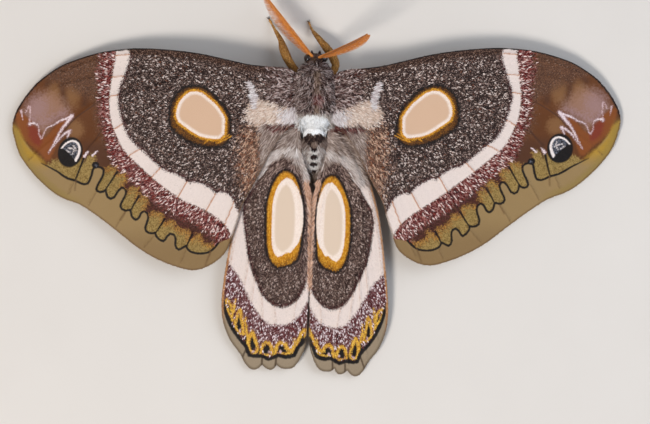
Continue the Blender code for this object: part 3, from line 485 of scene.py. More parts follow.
# Antennae
ANTENNA_LENGTH, ANTENNA_BOW = 14.2, 1.1
ANTENNA_RADII = (0.26, 0.08)
ANTENNA_POSES = {
    "left": ((-0.3, 13.0, 5.4), 128.0, -7.0, -60.0),
    "right": ((0.5, 12.9, 5.3), 23.0, 48.0, 78.0),
}
BARB_PAIRS, BARB_LENGTH, BARB_SPREAD = 50, 2.1, 58.0
BARB_RADII = (0.06, 0.035)
BARBS_FROM, BARBS_REACH = 0.05, 0.93  # shares of the shaft
BARB_TILT, BARB_CURL = 0.09, 0.16  # how far the barbs of a pair stand apart, and how far their tips bend on
BARB_DIHEDRAL = {"left": 18.0, "right": 30.0}

LEG_PATHS = {
    "leg_fore_left": (
        (1.4, 8.6, 3.3, 0.9), (3.4, 10.6, 3.6, 0.85), (4.7, 12.4, 3.5, 0.9), (5.6, 14.4, 2.9, 0.95),
        (6.2, 16.3, 2.0, 0.65), (7.2, 18.1, 1.0, 0.5), (7.9, 19.4, 0.36, 0.45), (8.4, 20.3, 0.3, 0.42),
    ),
    "leg_fore_right": (
        (1.6, 8.6, 3.3, 0.9), (3.5, 11.0, 3.5, 0.85), (3.5, 12.5, 3.2, 0.9), (2.4, 14.4, 2.7, 0.9),
        (0.9, 16.3, 2.0, 0.7), (-0.25, 17.8, 1.1, 0.52), (-0.75, 18.7, 0.36, 0.45), (-1.15, 19.7, 0.3, 0.42),
    ),
    "leg_middle": (
        (1.6, 5.4, 3.2, 0.9), (4.4, 6.4, 3.6, 0.8), (7.2, 6.6, 3.5, 0.75), (9.4, 5.0, 2.4, 0.7),
        (10.9, 3.6, 1.2, 0.5), (12.0, 2.8, 0.4, 0.42), (13.2, 2.0, 0.3, 0.42), (14.2, 1.4, 0.3, 0.42),
    ),
    "leg_hind": (
        (1.6, 2.4, 3.1, 0.9), (4.2, 0.9, 3.3, 0.8), (6.4, -1.0, 3.1, 0.75), (7.6, -4.0, 2.1, 0.7),
        (8.5, -6.6, 1.1, 0.5), (9.0, -8.0, 0.4, 0.42), (9.5, -9.6, 0.3, 0.42), (9.9, -10.8, 0.3, 0.42),
    ),
}
LEGS = {f"{pair}_{side}": LEG_PATHS.get(f"{pair}_{side}") or LEG_PATHS[pair]
        for pair in ("leg_fore", "leg_middle", "leg_hind") for side in SIDES}
CLAW_LENGTH, CLAW_SPREAD = 0.55, 24.0
CLAW_RADII = (0.12, 0.03)
CLAW_HEIGHT, CLAW_ARCH = 0.26, 0.16

# Hair of the body
BODY_PLACES = 110000  # places tried, on all forms together
BODY_HAIR = {  # number, length, width, lift, curl, stray and rings
    "thorax": (12300, 1.35, 0.115, 24.0, 80.0, 0.35, 3),
    "abdomen": (6500, 0.95, 0.13, 15.0, 25.0, 0.14, 3),
    "head": (2400, 0.5, 0.11, 24.0, 50.0, 0.25, 3),
    "leg": (18000, 0.4, 0.07, 13.0, 20.0, 0.14, 2),
}
FLAT_ZONES = ("collar", "back_arc", "back_spot", "triangle")
LOCK_PAINTED_SHADE = 0.7  # painted shade: how far a lock's colour is darkened, as if shaded by the hair round it
LOCK_PAINTED_LIGHT_FROM = 8  # painted light: its corners from this one on are lighter
EYE_CLEAR = 0.12  # how far the hair stays off the eyes
FLOOR_CLEAR, ROOT_CLEAR = 0.12, 0.2  # how far its tips and roots stay off the floor

# Studio
PHOTO_WIDTH = 650
SENSOR_WIDTH = 36.0
LIGHTS = (  # each light's place and size in metres, its watts and its colour
    ("key", (-0.34, -0.36, 0.62), 0.22, 4.8, (1.0, 0.975, 0.94)),
    ("fill", (0.6, 0.3, 0.5), 0.6, 1.8, (0.96, 0.98, 1.0)),
    ("cool_side", (0.26, 0.05, 0.22), 0.3, 0.35, (0.72, 0.92, 1.2)),
)
SKY_COLOUR, SKY_STRENGTH = (0.95, 0.96, 1.0, 1), 0.3
FLOOR_SIDE = 900.0
FLOOR_TONES = ((0.66, 0.61, 0.56, 1), (0.70, 0.65, 0.60, 1))
CAMERA_HEIGHT = 560.0
CAMERA_AIM = (325.0, 212.0)  # the photograph's middle pixel
CAMERA_LEVEL = 4.0  # the height at which PIXEL holds


def seen(*pixels):
    """Pixels of the photograph as (out, forward) of the left wing, in millimetres."""
    return np.array([((MIDDLE[0] - x) * PIXEL, (MIDDLE[1] - y) * PIXEL) for x, y in pixels])


def linear(colour):
    """A 0 to 255 colour as linear light."""
    share = np.asarray(colour, float) / 255
    return np.where(share <= 0.04045, share / 12.92, ((share + 0.055) / 1.055) ** 2.4)


def fade(start, end, x):
    """0 at start, 1 at end, smooth between, whichever is larger."""
    t = np.clip((x - start) / (end - start), 0, 1)
    return t * t * (3 - 2 * t)


def unit(vectors):
    """Vectors at length 1."""
    return vectors / np.maximum(np.linalg.norm(vectors, axis=-1, keepdims=True), 1e-9)


def spline(points, step, corners=(), closed=False):
    """Even points on Catmull-Rom curves through these points, which stay sharp at the corners."""
    points = np.asarray(points, float)
    count = len(points)
    corners = {c % count for c in corners}
    rows = []
    for i in range(count if closed else count - 1):
        a, b = points[i], points[(i + 1) % count]
        before = points[(i - 1) % count] if closed or i > 0 else a
        after = points[(i + 2) % count] if closed or i + 2 < count else b
        if i in corners:
            before = a
        if (i + 1) % count in corners:
            after = b
        pieces = max(1, round(np.linalg.norm((b - a)[:3]) / step))
        t = (np.arange(pieces) / pieces)[:, None]
        rows.append(0.5 * (2 * a + (b - before) * t + (2 * before - 5 * a + 4 * b - after) * t**2
                           + (3 * a - before - 3 * b + after) * t**3))
    if not closed:
        rows.append(points[-1:])
    return np.concatenate(rows)


def path_nearest(points, path, reach):
    """How far each point lies from a polyline, up to reach, and its nearest place's share of the way."""
    near = np.all((points > path.min(0) - reach) & (points < path.max(0) + reach), axis=1)
    best = np.full(len(points), reach * reach)
    along_path = np.zeros(len(points))
    close, nearest, share = points[near], best[near], along_path[near]
    for index, (a, b) in enumerate(zip(path[:-1], path[1:])):
        along = b - a
        t = np.clip((close - a) @ along / max(along @ along, 1e-9), 0, 1)
        gap = ((close - a - t[:, None] * along) ** 2).sum(1)
        closer = gap < nearest
        nearest = np.where(closer, gap, nearest)
        share = np.where(closer, (index + t) / (len(path) - 1), share)
    best[near] = nearest
    along_path[near] = share
    return np.sqrt(best), along_path


def path_distance(points, path, reach=4.0):
    """How far each point lies from a polyline, up to reach."""
    return path_nearest(points, path, reach)[0]


def inside(points, outline):
    """Whether each point lies in a closed outline."""
    hit = np.zeros(len(points), bool)
    near = np.all((points >= outline.min(0)) & (points <= outline.max(0)), axis=1)
    x, y = points[near].T
    odd = np.zeros(len(x), bool)
    for a, b in zip(outline, np.roll(outline, -1, 0)):
        if a[1] != b[1]:
            crosses = (a[1] > y) != (b[1] > y)
            odd ^= crosses & (x < a[0] + (y - a[1]) * (b[0] - a[0]) / (b[1] - a[1]))
    hit[near] = odd
    return hit


def depth_in(points, outline, reach=4.0):
    """How deep each point lies in a closed outline, negative outside."""
    distance = path_distance(points, np.vstack((outline, outline[:1])), reach)
    return np.where(inside(points, outline), distance, -distance)


def region(pixels, step=0.9):
    """A smooth closed outline through pixels."""
    return spline(seen(*pixels), step, closed=True)


def line(pixels, step=0.9):
    """A smooth open line through pixels."""
    return spline(seen(*pixels), step)


def in_oval(points, centre, half, turn=0.0):
    """How far out each point lies in an oval, 1 at its rim. The sizes are in pixels, turn from x."""
    offset = (points - seen(centre)[0]) / PIXEL
    offset = offset * (-1, 1)
    angle = math.radians(turn)
    along = offset @ (math.cos(angle), math.sin(angle))
    across = offset @ (-math.sin(angle), math.cos(angle))
    return np.hypot(along / half[0], across / half[1])


class Painting:
    """The share of every zone at each point, laid over one another like coats of paint."""

    def __init__(self, points, base, ragged):
        self.points = points
        self.ragged = ragged
        self.shares = {base: np.ones(len(points))}
        self.edge = np.full(len(points), 9.0)  # how far off the nearest crisp edge is

    def lay(self, zone, cover):
        """Covers what is there with a zone, by the given share."""
        for name in self.shares:
            self.shares[name] = self.shares[name] * (1 - cover)
        self.shares[zone] = self.shares.get(zone, 0.0) + cover

    def lay_crisp(self, zone, depth, soft, fray, cover=1.0):
        """Covers where depth is above zero, and remembers the edge if it is crisp."""
        if soft <= 0.12:
            self.edge = np.minimum(self.edge, np.abs(depth))
        self.lay(zone, cover * fade(-soft, soft, depth + fray * self.ragged))

    def fill(self, zone, outline, soft=0.07, fray=0.1, cover=1.0, grow=0.0):
        """Fills an outline, with a frayed edge."""
        self.lay_crisp(zone, depth_in(self.points, outline) + grow, soft, fray, cover)

    def draw(self, zone, path, start, end=None, soft=0.07, fray=0.03, cover=1.0):
        """Draws a line, whose width runs from start to end."""
        distance, share = path_nearest(self.points, path, 3.0)
        width = start + ((start if end is None else end) - start) * share
        self.lay_crisp(zone, width / 2 - distance, soft, fray, cover)

    def spot(self, zone, centre, half, turn=0.0, soft=0.12, fray=0.0, cover=1.0):
        """Fills an oval. Softness and fray are shares of its size."""
        self.lay_crisp(zone, 1 - in_oval(self.points, centre, half, turn), soft, fray, cover)

    def colours(self):
        """The mean colour, the light flecks' colour and the flecks' share at each point, for a skin."""
        mean = np.zeros((len(self.points), 3))
        fleck = np.zeros_like(mean)
        share = np.zeros(len(self.points))
        for zone, cover in self.shares.items():
            tones = np.array([linear(colour) for colour, _ in PALETTES[zone]])
            parts = np.array([part for _, part in PALETTES[zone]])
            order = np.argsort(tones.sum(1))
            light = order[len(order) // 2 :]
            dark = order[: max(1, len(order) // 2)]
            if zone in SMOOTH:
                dark = light = order
            mean += cover[:, None] * np.average(tones[dark], 0, parts[dark])
            fleck += cover[:, None] * np.average(tones[light], 0, parts[light])
            share += cover * min(0.6, parts[light].sum() / parts.sum())
        return mean, np.column_stack((fleck, share))

    def pick(self, rng):
        """One zone and one of its colours for each point, as a scale or hair has."""
        names = list(self.shares)
        count = len(self.points)
        heaped = np.cumsum([self.shares[name] ** 3 for name in names], 0)
        chosen = (rng.random(count) * heaped[-1] > heaped).sum(0)
        clumps = Field(self.points.min(0), self.points.max(0), CLUMP, lambda places: rng.random(len(places)))
        tone = np.argsort(np.argsort(clumps.at(self.points) + CLUMP_LOOSENESS * rng.random(count))) / count
        colours = np.zeros((len(self.points), 3))
        blend, total = np.zeros_like(colours), np.full(len(colours), 1e-6)
        for index, name in enumerate(names):
            tones = np.array([linear(colour) for colour, _ in PALETTES[name]])
            parts = np.array([part for _, part in PALETTES[name]])
            if name in SMOOTH:
                blend += self.shares[name][:, None] * np.average(tones, 0, parts)
                total += self.shares[name]
            mine = chosen == index
            order = np.argsort(tones.sum(1))
            which = np.searchsorted(np.cumsum(parts[order]) / parts.sum(), tone[mine])
            colours[mine] = tones[order[np.minimum(which, len(parts) - 1)]]
        zones = np.array(names)[chosen]
        smooth = np.isin(zones, SMOOTH)
        colours[smooth] = (blend / total[:, None])[smooth] * 0.6 + colours[smooth] * 0.4
        colours *= rng.uniform(0.88, 1.12, (len(colours), 1))
        return zones, np.clip(colours, 0, 1)


def around(boundary, corners):
    """A region beyond a boundary line, closed by far corners, all in pixels."""
    return np.vstack((line(boundary), seen(*corners)))


# In the paintings, the first two numbers of a fade are where a zone starts and where it is full, in
# millimetres unless they are named pixels. The number before ragged is how far the zone's edge frays.


def paint_forewing(points, ragged, vein_gap, rim_gap, flat):
    """The forewing's markings, from the ground up to the fine lines."""
    work = Painting(points, "ground", ragged)
    out, forward = points.T
    beyond = around(BAND_OUTER, TIP_CORNERS)
    past = depth_in(points, beyond, 9.0)
    work.fill("warm", region(WARM_GROUND), soft=1.6, fray=1.1, cover=0.85)
    work.lay("costa", 0.9 * fade(2.2, 0.7, rim_gap + 0.3 * ragged) * (forward > 9.0))
    work.lay("root_fur", fade(10.5, 5.0, out + 1.5 * ragged) * fade(1.2, 2.6, forward + 0.4 * ragged))
    work.lay("olive_fur", fade(11.0, 8.0, out) * fade(2.0, 1.2, forward + 0.4 * ragged))
    band_depth = depth_in(points, region(ANTEMEDIAN)) + 0.7 * ragged
    inner_band = fade(-0.5, 0.5, band_depth)
    work.lay("antemedian", inner_band)
    work.lay("antemedian_inner", inner_band * fade(7.6, 4.4, out + 1.2 * ragged))
    work.draw("maroon_fur", line(ANTEMEDIAN[5:8]) - (0, 0.5), 1.8, 1.1, soft=0.3, fray=0.5)
    work.draw("antemedian_inner", line(ANTEMEDIAN_LINE), 0.75, 0.45, soft=0.25, fray=0.35, cover=0.9)
    window = region(WINDOW)
    work.fill("black", region(WINDOW_SHADE), soft=0.3, fray=0.2, grow=0.32)
    work.fill("black", window, soft=0.25, fray=0.15, grow=1.15)
    work.fill("orange_dark", region(WINDOW_SHADE), soft=0.3, fray=0.15, grow=-0.32)
    work.fill("orange_dark", window, soft=0.2, fray=0.12, grow=0.6)
    work.fill("orange", window, soft=0.12, fray=0.14, grow=0.36)
    for tuft in WINDOW_TUFTS:
        work.draw("orange", line(tuft), 0.26, 0.1, soft=0.1, fray=0.08)
    work.fill("window_white", window, fray=0.05)
    work.fill("window", window, soft=0.22, fray=0.0, grow=-0.52)

    # The pale band and what lies beyond it: maroon hair, then the smooth brown of the tip
    inner_gap = path_distance(points, line(BAND_INNER))
    work.lay("band_rim", 0.9 * fade(0.75, 0.3, inner_gap + 0.25 * ragged))
    band = np.vstack((line(BAND_INNER), seen(*BAND_FOOT), line(BAND_OUTER), seen(*BAND_HEAD)))
    work.fill("band", band, fray=0.24)
    work.lay("apex", fade(-0.1, 0.1, past))
    down, across = MIDDLE[1] - forward / PIXEL, MIDDLE[0] - out / PIXEL
    costal = fade(*COSTAL_DOWN, down - 0.5 * across)
    work.lay("brown", fade(0, 1, past) * fade(*BROWN_DOWN, down) * 0.9)
    for centre, half_x, half_y in APEX_LIGHTS:
        work.spot("apex_light", centre, (half_x, half_y), soft=0.5, fray=0.25, cover=0.85)
    for streak in APEX_STREAKS:
        work.draw("apex_dark", line(streak), 1.0, soft=0.7, fray=0.3, cover=0.8)
    work.lay("apex_speckle", costal * 0.85 * fade(0, 0.5, past))
    work.lay("apex_speckle", fade(0, 0.3, past) * fade(3.6, 1.8, past + 0.8 * ragged) * 0.7)
    work.fill("lilac", region(LILAC), soft=1.5, fray=0.5, cover=0.9)
    work.draw("lilac_pale", line(LILAC_GLOW), 0.9, soft=0.9, fray=0.5, cover=0.6)
    centre, half_x, half_y = LILAC_PALE
    work.spot("lilac_pale", centre, (half_x, half_y), soft=0.7, fray=0.3, cover=0.55)
    work.fill("orange_red", region(APEX_RED), soft=0.3, fray=0.1)
    work.fill("crimson", region(APEX_CRIMSON), soft=0.5, fray=0.2, cover=0.9)
    dusk = 0.7 * fade(2.4, 1.4, np.abs(past - 4.4))
    work.lay("apex_dark", dusk * fade(*DUSK_DOWN[0], down) * fade(*DUSK_DOWN[1], down))

    # The khaki margin, its lobes and their black lines
    margin = np.vstack((line(SHORE, 0.5), seen(*MARGIN_CORNERS)))
    work.fill("khaki", margin, soft=0.12, fray=0.05)
    lobes = np.vstack((line(TOPS, 0.4), seen(*LOBE_CORNERS)))
    lobe_depth = depth_in(points, lobes) + 0.36 * ragged
    margin_depth = depth_in(points, margin)
    within = fade(0.05, -0.05, margin_depth) * fade(-0.1, 0.1, lobe_depth)
    work.lay("finger", within)
    top_reach = 0.75 + 0.5 * fade(*DEEP_TOPS_ACROSS, across)
    lobe_top = fade(top_reach, 0.15, lobe_depth + 0.2 * ragged)
    work.lay("finger_top", within * lobe_top * fade(*TOPS_ACROSS, across) * 0.85)
    yellow = fade(-0.45, 0.45, depth_in(points, region(APEX_YELLOW)) + 0.15 * ragged)
    work.lay("yellow", 0.95 * yellow * fade(*YELLOW_DOWN, down))
    olive = 0.6 * fade(1.7, 0.5, rim_gap + 0.2 * ragged)
    work.lay("olive_edge", olive * fade(*OLIVE_DOWN, down) * fade(*OLIVE_ACROSS, across))
    tops = fade(0.2, -0.2, lobe_depth)
    limit = 2.3 + 1.4 * fade(*MAROON_ACROSS, across) + 0.9 * fade(*MAROON_DOWN, down)
    above = fade(0.1, -0.1, margin_depth)
    maroon = above * fade(0, 0.12, past + 0.24 * ragged) * fade(limit, limit - 1.4, past + 0.8 * ragged)
    work.lay("maroon", maroon * np.maximum(tops, fade(2.6, 1.8, past)))
    outer_rim = above * tops * fade(2.2, 3.6, past) * fade(*RIM_ACROSS, across)
    work.lay("band_rim", outer_rim * 0.65 * fade(6.5, 5.5, past))
    work.draw("black", line(SHORE[:4], 0.5), 0.7 * PIXEL, 2.3 * PIXEL)
    work.draw("black", line(SHORE[3:], 0.5), 2.3 * PIXEL)
    for wall in WALLS:
        work.draw("black", line(wall, 0.5), 1.2 * PIXEL, 2.2 * PIXEL)
    # Painted shade along the margin's creases
    for crease in MARGIN_CREASE_SHADE_LINES:
        work.draw("khaki_dark", line(crease, 0.5), 1.4 * PIXEL, soft=0.15, cover=0.8)
    work.lay("khaki_dark", 0.35 * fade(0, 0.5, margin_depth) * fade(*MARGIN_DARK_DOWN, down))
    work.lay("khaki_dark", 0.55 * fade(0.16, 0.05, vein_gap) * fade(0.2, 0.5, margin_depth))

    # The eye spot, the white flames and the lines of the veins
    in_band = fade(-0.1, 0.1, depth_in(points, band))
    work.lay("vein_line", fade(0.15, 0.08, vein_gap) * fade(0.12, 0, past) * in_band)
    for path in TIP_VEINS:
        work.draw("apex_dark", line(path), 1.3 * PIXEL, cover=0.9)
    for path, start, end in FLAMES:
        work.draw("lilac_pale", line(path, 0.4), (start + 1.2) * PIXEL, (end + 0.8) * PIXEL, soft=0.12,
                  fray=0.16, cover=0.8)
    for zone, flames in (("lilac_white", PALE_FLAMES), ("flame", FLAMES), ("flame", TICKS)):
        for path, start, end in flames:
            work.draw(zone, line(path, 0.4), 0.85 * start * PIXEL, 0.85 * end * PIXEL, fray=0.12)
    work.spot("black", OCELLUS, (OCELLUS_HALF[0] + 0.9, OCELLUS_HALF[1] + 0.9), OCELLUS_TURN, soft=0.05)
    work.spot("blue_grey", OCELLUS, (OCELLUS_HALF[0] - 3, OCELLUS_HALF[1] - 3), OCELLUS_TURN, soft=0.1)
    for fleck in OCELLUS_FLECKS:
        work.draw("white", line(fleck, 0.4), 1.3 * PIXEL, 0.6 * PIXEL, fray=0.14, cover=0.75)
    work.draw("white", line(OCELLUS_CRESCENT, 0.4), 1.3 * PIXEL, 2.7 * PIXEL)
    ring = in_oval(points, OCELLUS, OCELLUS_HALF, OCELLUS_TURN)
    pupil = fade(-0.08, 0.08, depth_in(points, region(OCELLUS_PUPIL, 0.5)))
    work.lay("black", pupil * fade(1.03, 0.98, ring))
    work.spot("black", BLOB, (3.8, 3.5), soft=0.1)
    work.spot("blue_grey", (BLOB[0] + 0.6, BLOB[1] + 0.4), (1.6, 1.3), soft=0.2)
    work.lay("khaki_dark", 0.7 * fade(0.35, 0.1, rim_gap) * (forward < 0.5))
    work.lay("edge", fade(0.3, 0.2, rim_gap) * fade(1.0, 2.4, forward) * (out > 9.0))
    return work


def paint_hindwing(points, ragged, vein_gap, rim_gap, flat):
    """The hindwing's markings."""
    work = Painting(points, "band", ragged)
    out, forward = points.T
    work.lay("vein_line", 0.5 * fade(0.15, 0.06, vein_gap))
    work.lay("olive_fur", fade(-9.5, -6.5, forward + 0.5 * ragged))
    work.fill("hind_ground", region(HIND_DARK), fray=0.2)
    dark_gap = depth_in(points, region(HIND_DARK))
    work.lay("band_rim", 0.75 * fade(0.0, 0.2, dark_gap) * fade(0.9, 0.35, dark_gap + 0.3 * ragged))
    work.lay("dark_fur", fade(0, 0.2, dark_gap) * fade(-11.5, -8.0, forward))
    work.lay("dark_fur", fade(0, 0.2, dark_gap) * fade(2.7, 2.0, out) * fade(-29, -24, forward))
    work.draw("pale_fur", line(PALE_ARC), 2.0, 1.2, soft=0.45, fray=0.4)
    work.fill("olive_fur", region(OLIVE_BASE), soft=0.4, fray=0.4)
    work.lay("maroon_fur", 0.8 * fade(-0.4, 0.7, forward + 0.4 * ragged))
    strip = 0.36 + 0.9 * fade(-16.5, -8.5, forward) - flat[:, 0] - 0.1 * ragged
    work.lay("tan_fur", fade(-0.12, 0.12, strip) * fade(-8.0, -9.0, forward) * fade(-31, -25, forward))
    ring = depth_in(points, region(HIND_ORANGE))
    off_window = -depth_in(points, region(HIND_WINDOW))
    work.fill("black", region(HIND_ORANGE), soft=0.2, fray=0.15, grow=0.48)
    work.fill("orange_dark", region(HIND_ORANGE), fray=0.1, grow=0.05)
    bright = fade(0.0, 0.2, ring + 0.14 * ragged) * (0.45 + 0.55 * fade(1.1, 0.5, off_window + 0.2 * ragged))
    work.lay("orange", bright)
    work.fill("window_white", region(HIND_WINDOW), fray=0.05)
    work.fill("hind_window", region(HIND_GLASS), soft=0.22, fray=0.0)

    past = depth_in(points, around(HIND_BAND_OUTER, HIND_CORNERS))
    work.lay("hind_maroon", fade(-0.15, 0.2, past + 0.25 * ragged))
    for centre, half_x, half_y, turn in LUNULE_DARKS:
        work.spot("black", centre, (half_x + 0.8, half_y + 0.8), turn, soft=0.15, fray=0.16)
    for path, start, end in LUNULE_STROKES:
        work.draw("hind_yellow", line(path, 0.4), 1.3 * start * PIXEL, 1.3 * end * PIXEL, fray=0.16)
    for centre, half_x, half_y in LUNULE_DOTS:
        work.spot("lilac_white", centre, (half_x, half_y), soft=0.3)
    work.fill("margin", around(HIND_LINE, HIND_MARGIN_CORNERS), fray=0.05)
    # Painted shade along the margin's creases
    for crease in HIND_CREASE_SHADE_LINES:
        work.draw("margin_dark", line(crease), 0.35, soft=0.1, cover=0.9)
    work.draw("black", line(HIND_LINE) + (0, 0.08), 0.74, fray=0.06)
    work.lay("margin_dark", 0.6 * fade(0.5, 0.1, rim_gap) * fade(-0.4, 0.4, past))
    front_edge = 0.9 * fade(0.5, 0.3, rim_gap + 0.1 * ragged) * fade(9.6, 10.6, out)
    work.lay("hind_edge", front_edge * fade(-36, -30, forward))
    return work


def paint_body(points, ragged):
    """The body's markings, seen from above."""
    work = Painting(points, "thorax", ragged)
    out, forward = points.T
    parting = 0.85 * fade(0.8, 0.35, np.abs(out + 0.4) + 0.15 * ragged)
    work.lay("thorax_mid", parting * fade(11.5, 9.5, forward))
    work.spot("thorax_red", *THORAX_RED, soft=0.4, cover=0.75)
    work.lay("beside_collar", fade(3.2, 2.4, forward + 0.3 * ragged))
    work.lay("olive_fur", fade(-0.2, -1.0, forward + 0.3 * ragged))
    work.lay("pale_fur", fade(-2.6, -3.8, forward + 0.4 * ragged))
    work.lay("tan_fur", fade(-8.2, -9.0, forward))
    work.fill("collar", region(COLLAR), soft=0.12, fray=0.12)
    work.fill("triangle", region(TRIANGLE, 0.5), soft=0.1, fray=0.1)
    work.spot("triangle_top", *TRIANGLE_TOP, soft=0.3, cover=0.8)
    for centre, half_x, half_y in BACK_SPOTS:
        work.spot("back_arc", (centre[0], centre[1] + 1.6), (half_x * 1.6, half_y * 1.6), soft=0.2)
    for centre, half_x, half_y in BACK_SPOTS:
        work.spot("back_spot", centre, (half_x, half_y), soft=0.15)
    return work


def placement(wing, side):
    """The 2 by 2 matrix and the shift that hold a wing's outline plane as that wing is held."""
    turn, stretch, lean, shift = PLACEMENT[f"{wing}_{side}"]
    angle = math.radians(turn)
    turned = np.array(((math.cos(angle), -math.sin(angle)), (math.sin(angle), math.cos(angle))))
    bent = np.array(((stretch[0], lean * stretch[1]), (0.0, stretch[1])))
    return turned @ bent, np.array(shift)


def held(flat, wing, side):
    """Points of the outline plane as (out, forward) of the wing as it is held."""
    matrix, shift = placement(wing, side)
    return (flat - WING_PIVOT) @ matrix.T + WING_PIVOT + shift


def released(points, wing, side):
    """The reverse of held."""
    matrix, shift = placement(wing, side)
    return (points - WING_PIVOT - shift) @ np.linalg.inv(matrix).T + WING_PIVOT


def marking_places(flat, wing, side):
    """Where each point lies among the left wing's markings."""
    places = held(flat, wing, "left")
    if side == "left":
        return places
    lefts = seen(*[pair[0] for pair in TWINS[wing]])
    rights = seen(*[pair[1] for pair in TWINS[wing]]) * (-1, 1)
    knots = held(released(rights, wing, "right"), wing, "left")
    pull = 1 / (((places[:, None] - knots) ** 2).sum(2) + TWIN_SOFTNESS**2) ** 1.5
    return places + (pull / pull.sum(1, keepdims=True)) @ (lefts - knots)


def sheet_height(out, forward, wing):
    """The height of a wing's middle sheet."""
    side = np.maximum(0.0, np.abs(out) - ROOT_OUT) / SIDE_REACH
    rear = np.maximum(0.0, ROOT_FORWARD - forward) / REAR_REACH
    return ROOT_HEIGHT - SIDE_DROP * side**SIDE_POWER - REAR_DROP * rear**REAR_POWER - UNDERLAP[wing]


class Field:
    """A value kept on a fine grid and read between its points."""

    def __init__(self, low, high, step, measure):
        self.low, self.step = low, step
        self.shape = np.ceil((high - low) / step).astype(int) + 2
        grid = np.stack(np.meshgrid(*[np.arange(n) for n in self.shape], indexing="ij"), -1)
        self.values = measure(low + grid.reshape(-1, 2) * step).reshape(self.shape)

    def at(self, points):
        """The value at each point."""
        place = np.clip((points - self.low) / self.step, 0, self.shape - 1.001)
        cell = place.astype(int)
        u, v = (place - cell).T
        i, j = cell.T
        grid = self.values
        return ((1 - u) * (1 - v) * grid[i, j] + u * (1 - v) * grid[i + 1, j]
                + (1 - u) * v * grid[i, j + 1] + u * v * grid[i + 1, j + 1])


class WingPlan:
    """What the left and right wing of one kind share, in the outline plane."""

    def __init__(self, wing):
        self.wing = wing
        self.rim = spline(OUTLINES[wing], RIM_STEP, SHARP_CORNERS[wing], closed=True)
        veins = [spline(path, 1.2) for path in VEINS[wing]]
        low, high = self.rim.min(0) - 1.0, self.rim.max(0) + 1.0

        def vein_gap(points):
            return np.min([path_distance(points, vein, 6.0) for vein in veins], 0)

        self.vein_gap = Field(low, high, 0.2, vein_gap)
        closed = np.vstack((self.rim, self.rim[:1]))
        self.rim_gap = Field(low, high, 0.2, lambda points: path_distance(points, closed, 6.0))
        self.low, self.high = low, high

    def half_thickness(self, flat):
        """Half of the sheet's thickness, thinner at the margin and thicker along the veins."""
        rim = fade(0, RIM_TAPER, self.rim_gap.at(flat))
        vein = VEIN_RISE * np.exp(-((self.vein_gap.at(flat) / VEIN_WIDTH) ** 2))
        return (RIM_THICKNESS + (MEMBRANE - RIM_THICKNESS) * rim) / 2 + vein * rim

    def dip(self, flat):
        """How far the whole sheet dips between the veins."""
        gap = self.vein_gap.at(flat)
        return -SAG * (1 - np.exp(-((gap / SAG_WIDTH) ** 2))) * fade(0, RIM_TAPER, self.rim_gap.at(flat))

    def grid(self, step, margin, wanted=None):
        """A hexagonal grid in the outline, at least margin from it, thinned out where it isn't wanted."""
        rows = int((self.high[1] - self.low[1]) / (step * 0.866)) + 1
        columns = int((self.high[0] - self.low[0]) / step) + 1
        row, column = np.meshgrid(np.arange(rows), np.arange(columns), indexing="ij")
        points = np.stack(((column + 0.5 * (row % 2)) * step, row * step * 0.866), -1)
        points = points.reshape(-1, 2) + self.low
        coarse = ((row % 2 == 0) & ((column - row // 2) % 2 == 0)).ravel()
        kept = inside(points, self.rim) & (self.rim_gap.at(points) > margin)
        if wanted is not None:
            kept &= coarse | wanted(points)
        return points[kept]


def middle_sheet(flat, plan, side):
    """Points on a wing's middle sheet, as it is held."""
    out, forward = held(flat, plan.wing, side).T
    height = sheet_height(out, forward, plan.wing) + plan.dip(flat)
    return np.column_stack((SIDES[side] * out, forward, height))


def sheet_normals(flat, plan, side, reach=0.3):
    """The upward normals of a wing's sheet, veins included."""
    def top(points):
        place = middle_sheet(points, plan, side)
        place[:, 2] += plan.half_thickness(points)
        return place

    normals = np.cross(top(flat + (reach, 0)) - top(flat - (reach, 0)),
                       top(flat + (0, reach)) - top(flat - (0, reach)))
    return unit(normals * np.sign(normals[:, 2:]))


def unwrap(flat, plan, under):
    """Where points of the outline plane lie in the unwrap: the top in its upper half, the underside below."""
    size = max((plan.high - plan.low)[0], 2 * (plan.high - plan.low)[1])
    place = (flat - plan.low) / size * UNWRAP_SIZE + UNWRAP_EDGE
    place[:, 1] += 0.0 if under else 0.5
    return place


def make_mesh(name, verts, faces, colours=None, corners_uv=None, material=None, smooth=False, fleck=None):
    """An object in the frame from vertices in millimetres and triangles."""
    mesh = bpy.data.meshes.new(name)
    mesh.vertices.add(len(verts))
    mesh.vertices.foreach_set("co", ((verts + HOME) * MM).astype(np.float32).ravel())
    mesh.loops.add(faces.size)
    mesh.loops.foreach_set("vertex_index", faces.astype(np.int32).ravel())
    mesh.polygons.add(len(faces))
    mesh.polygons.foreach_set("loop_start", np.arange(0, faces.size, 3, dtype=np.int32))
    if corners_uv is not None:
        layer = mesh.uv_layers.new(name="OFBake")
        layer.uv.foreach_set("vector", corners_uv.astype(np.float32).ravel())
    for label, values in (("tint", colours), ("fleck", fleck)):
        if values is not None:
            rgba = values if values.shape[1] == 4 else np.column_stack((values, np.ones(len(values))))
            layer = mesh.color_attributes.new(label, "FLOAT_COLOR", "POINT")
            layer.data.foreach_set("color", rgba.astype(np.float32).ravel())
    mesh.update(calc_edges=True)
    if smooth:
        mesh.shade_smooth()
    else:
        mesh.shade_flat()
    if material:
        mesh.materials.append(material)
    obj = bpy.data.objects.new(name, mesh)
    bpy.context.scene.collection.objects.link(obj)
    return obj


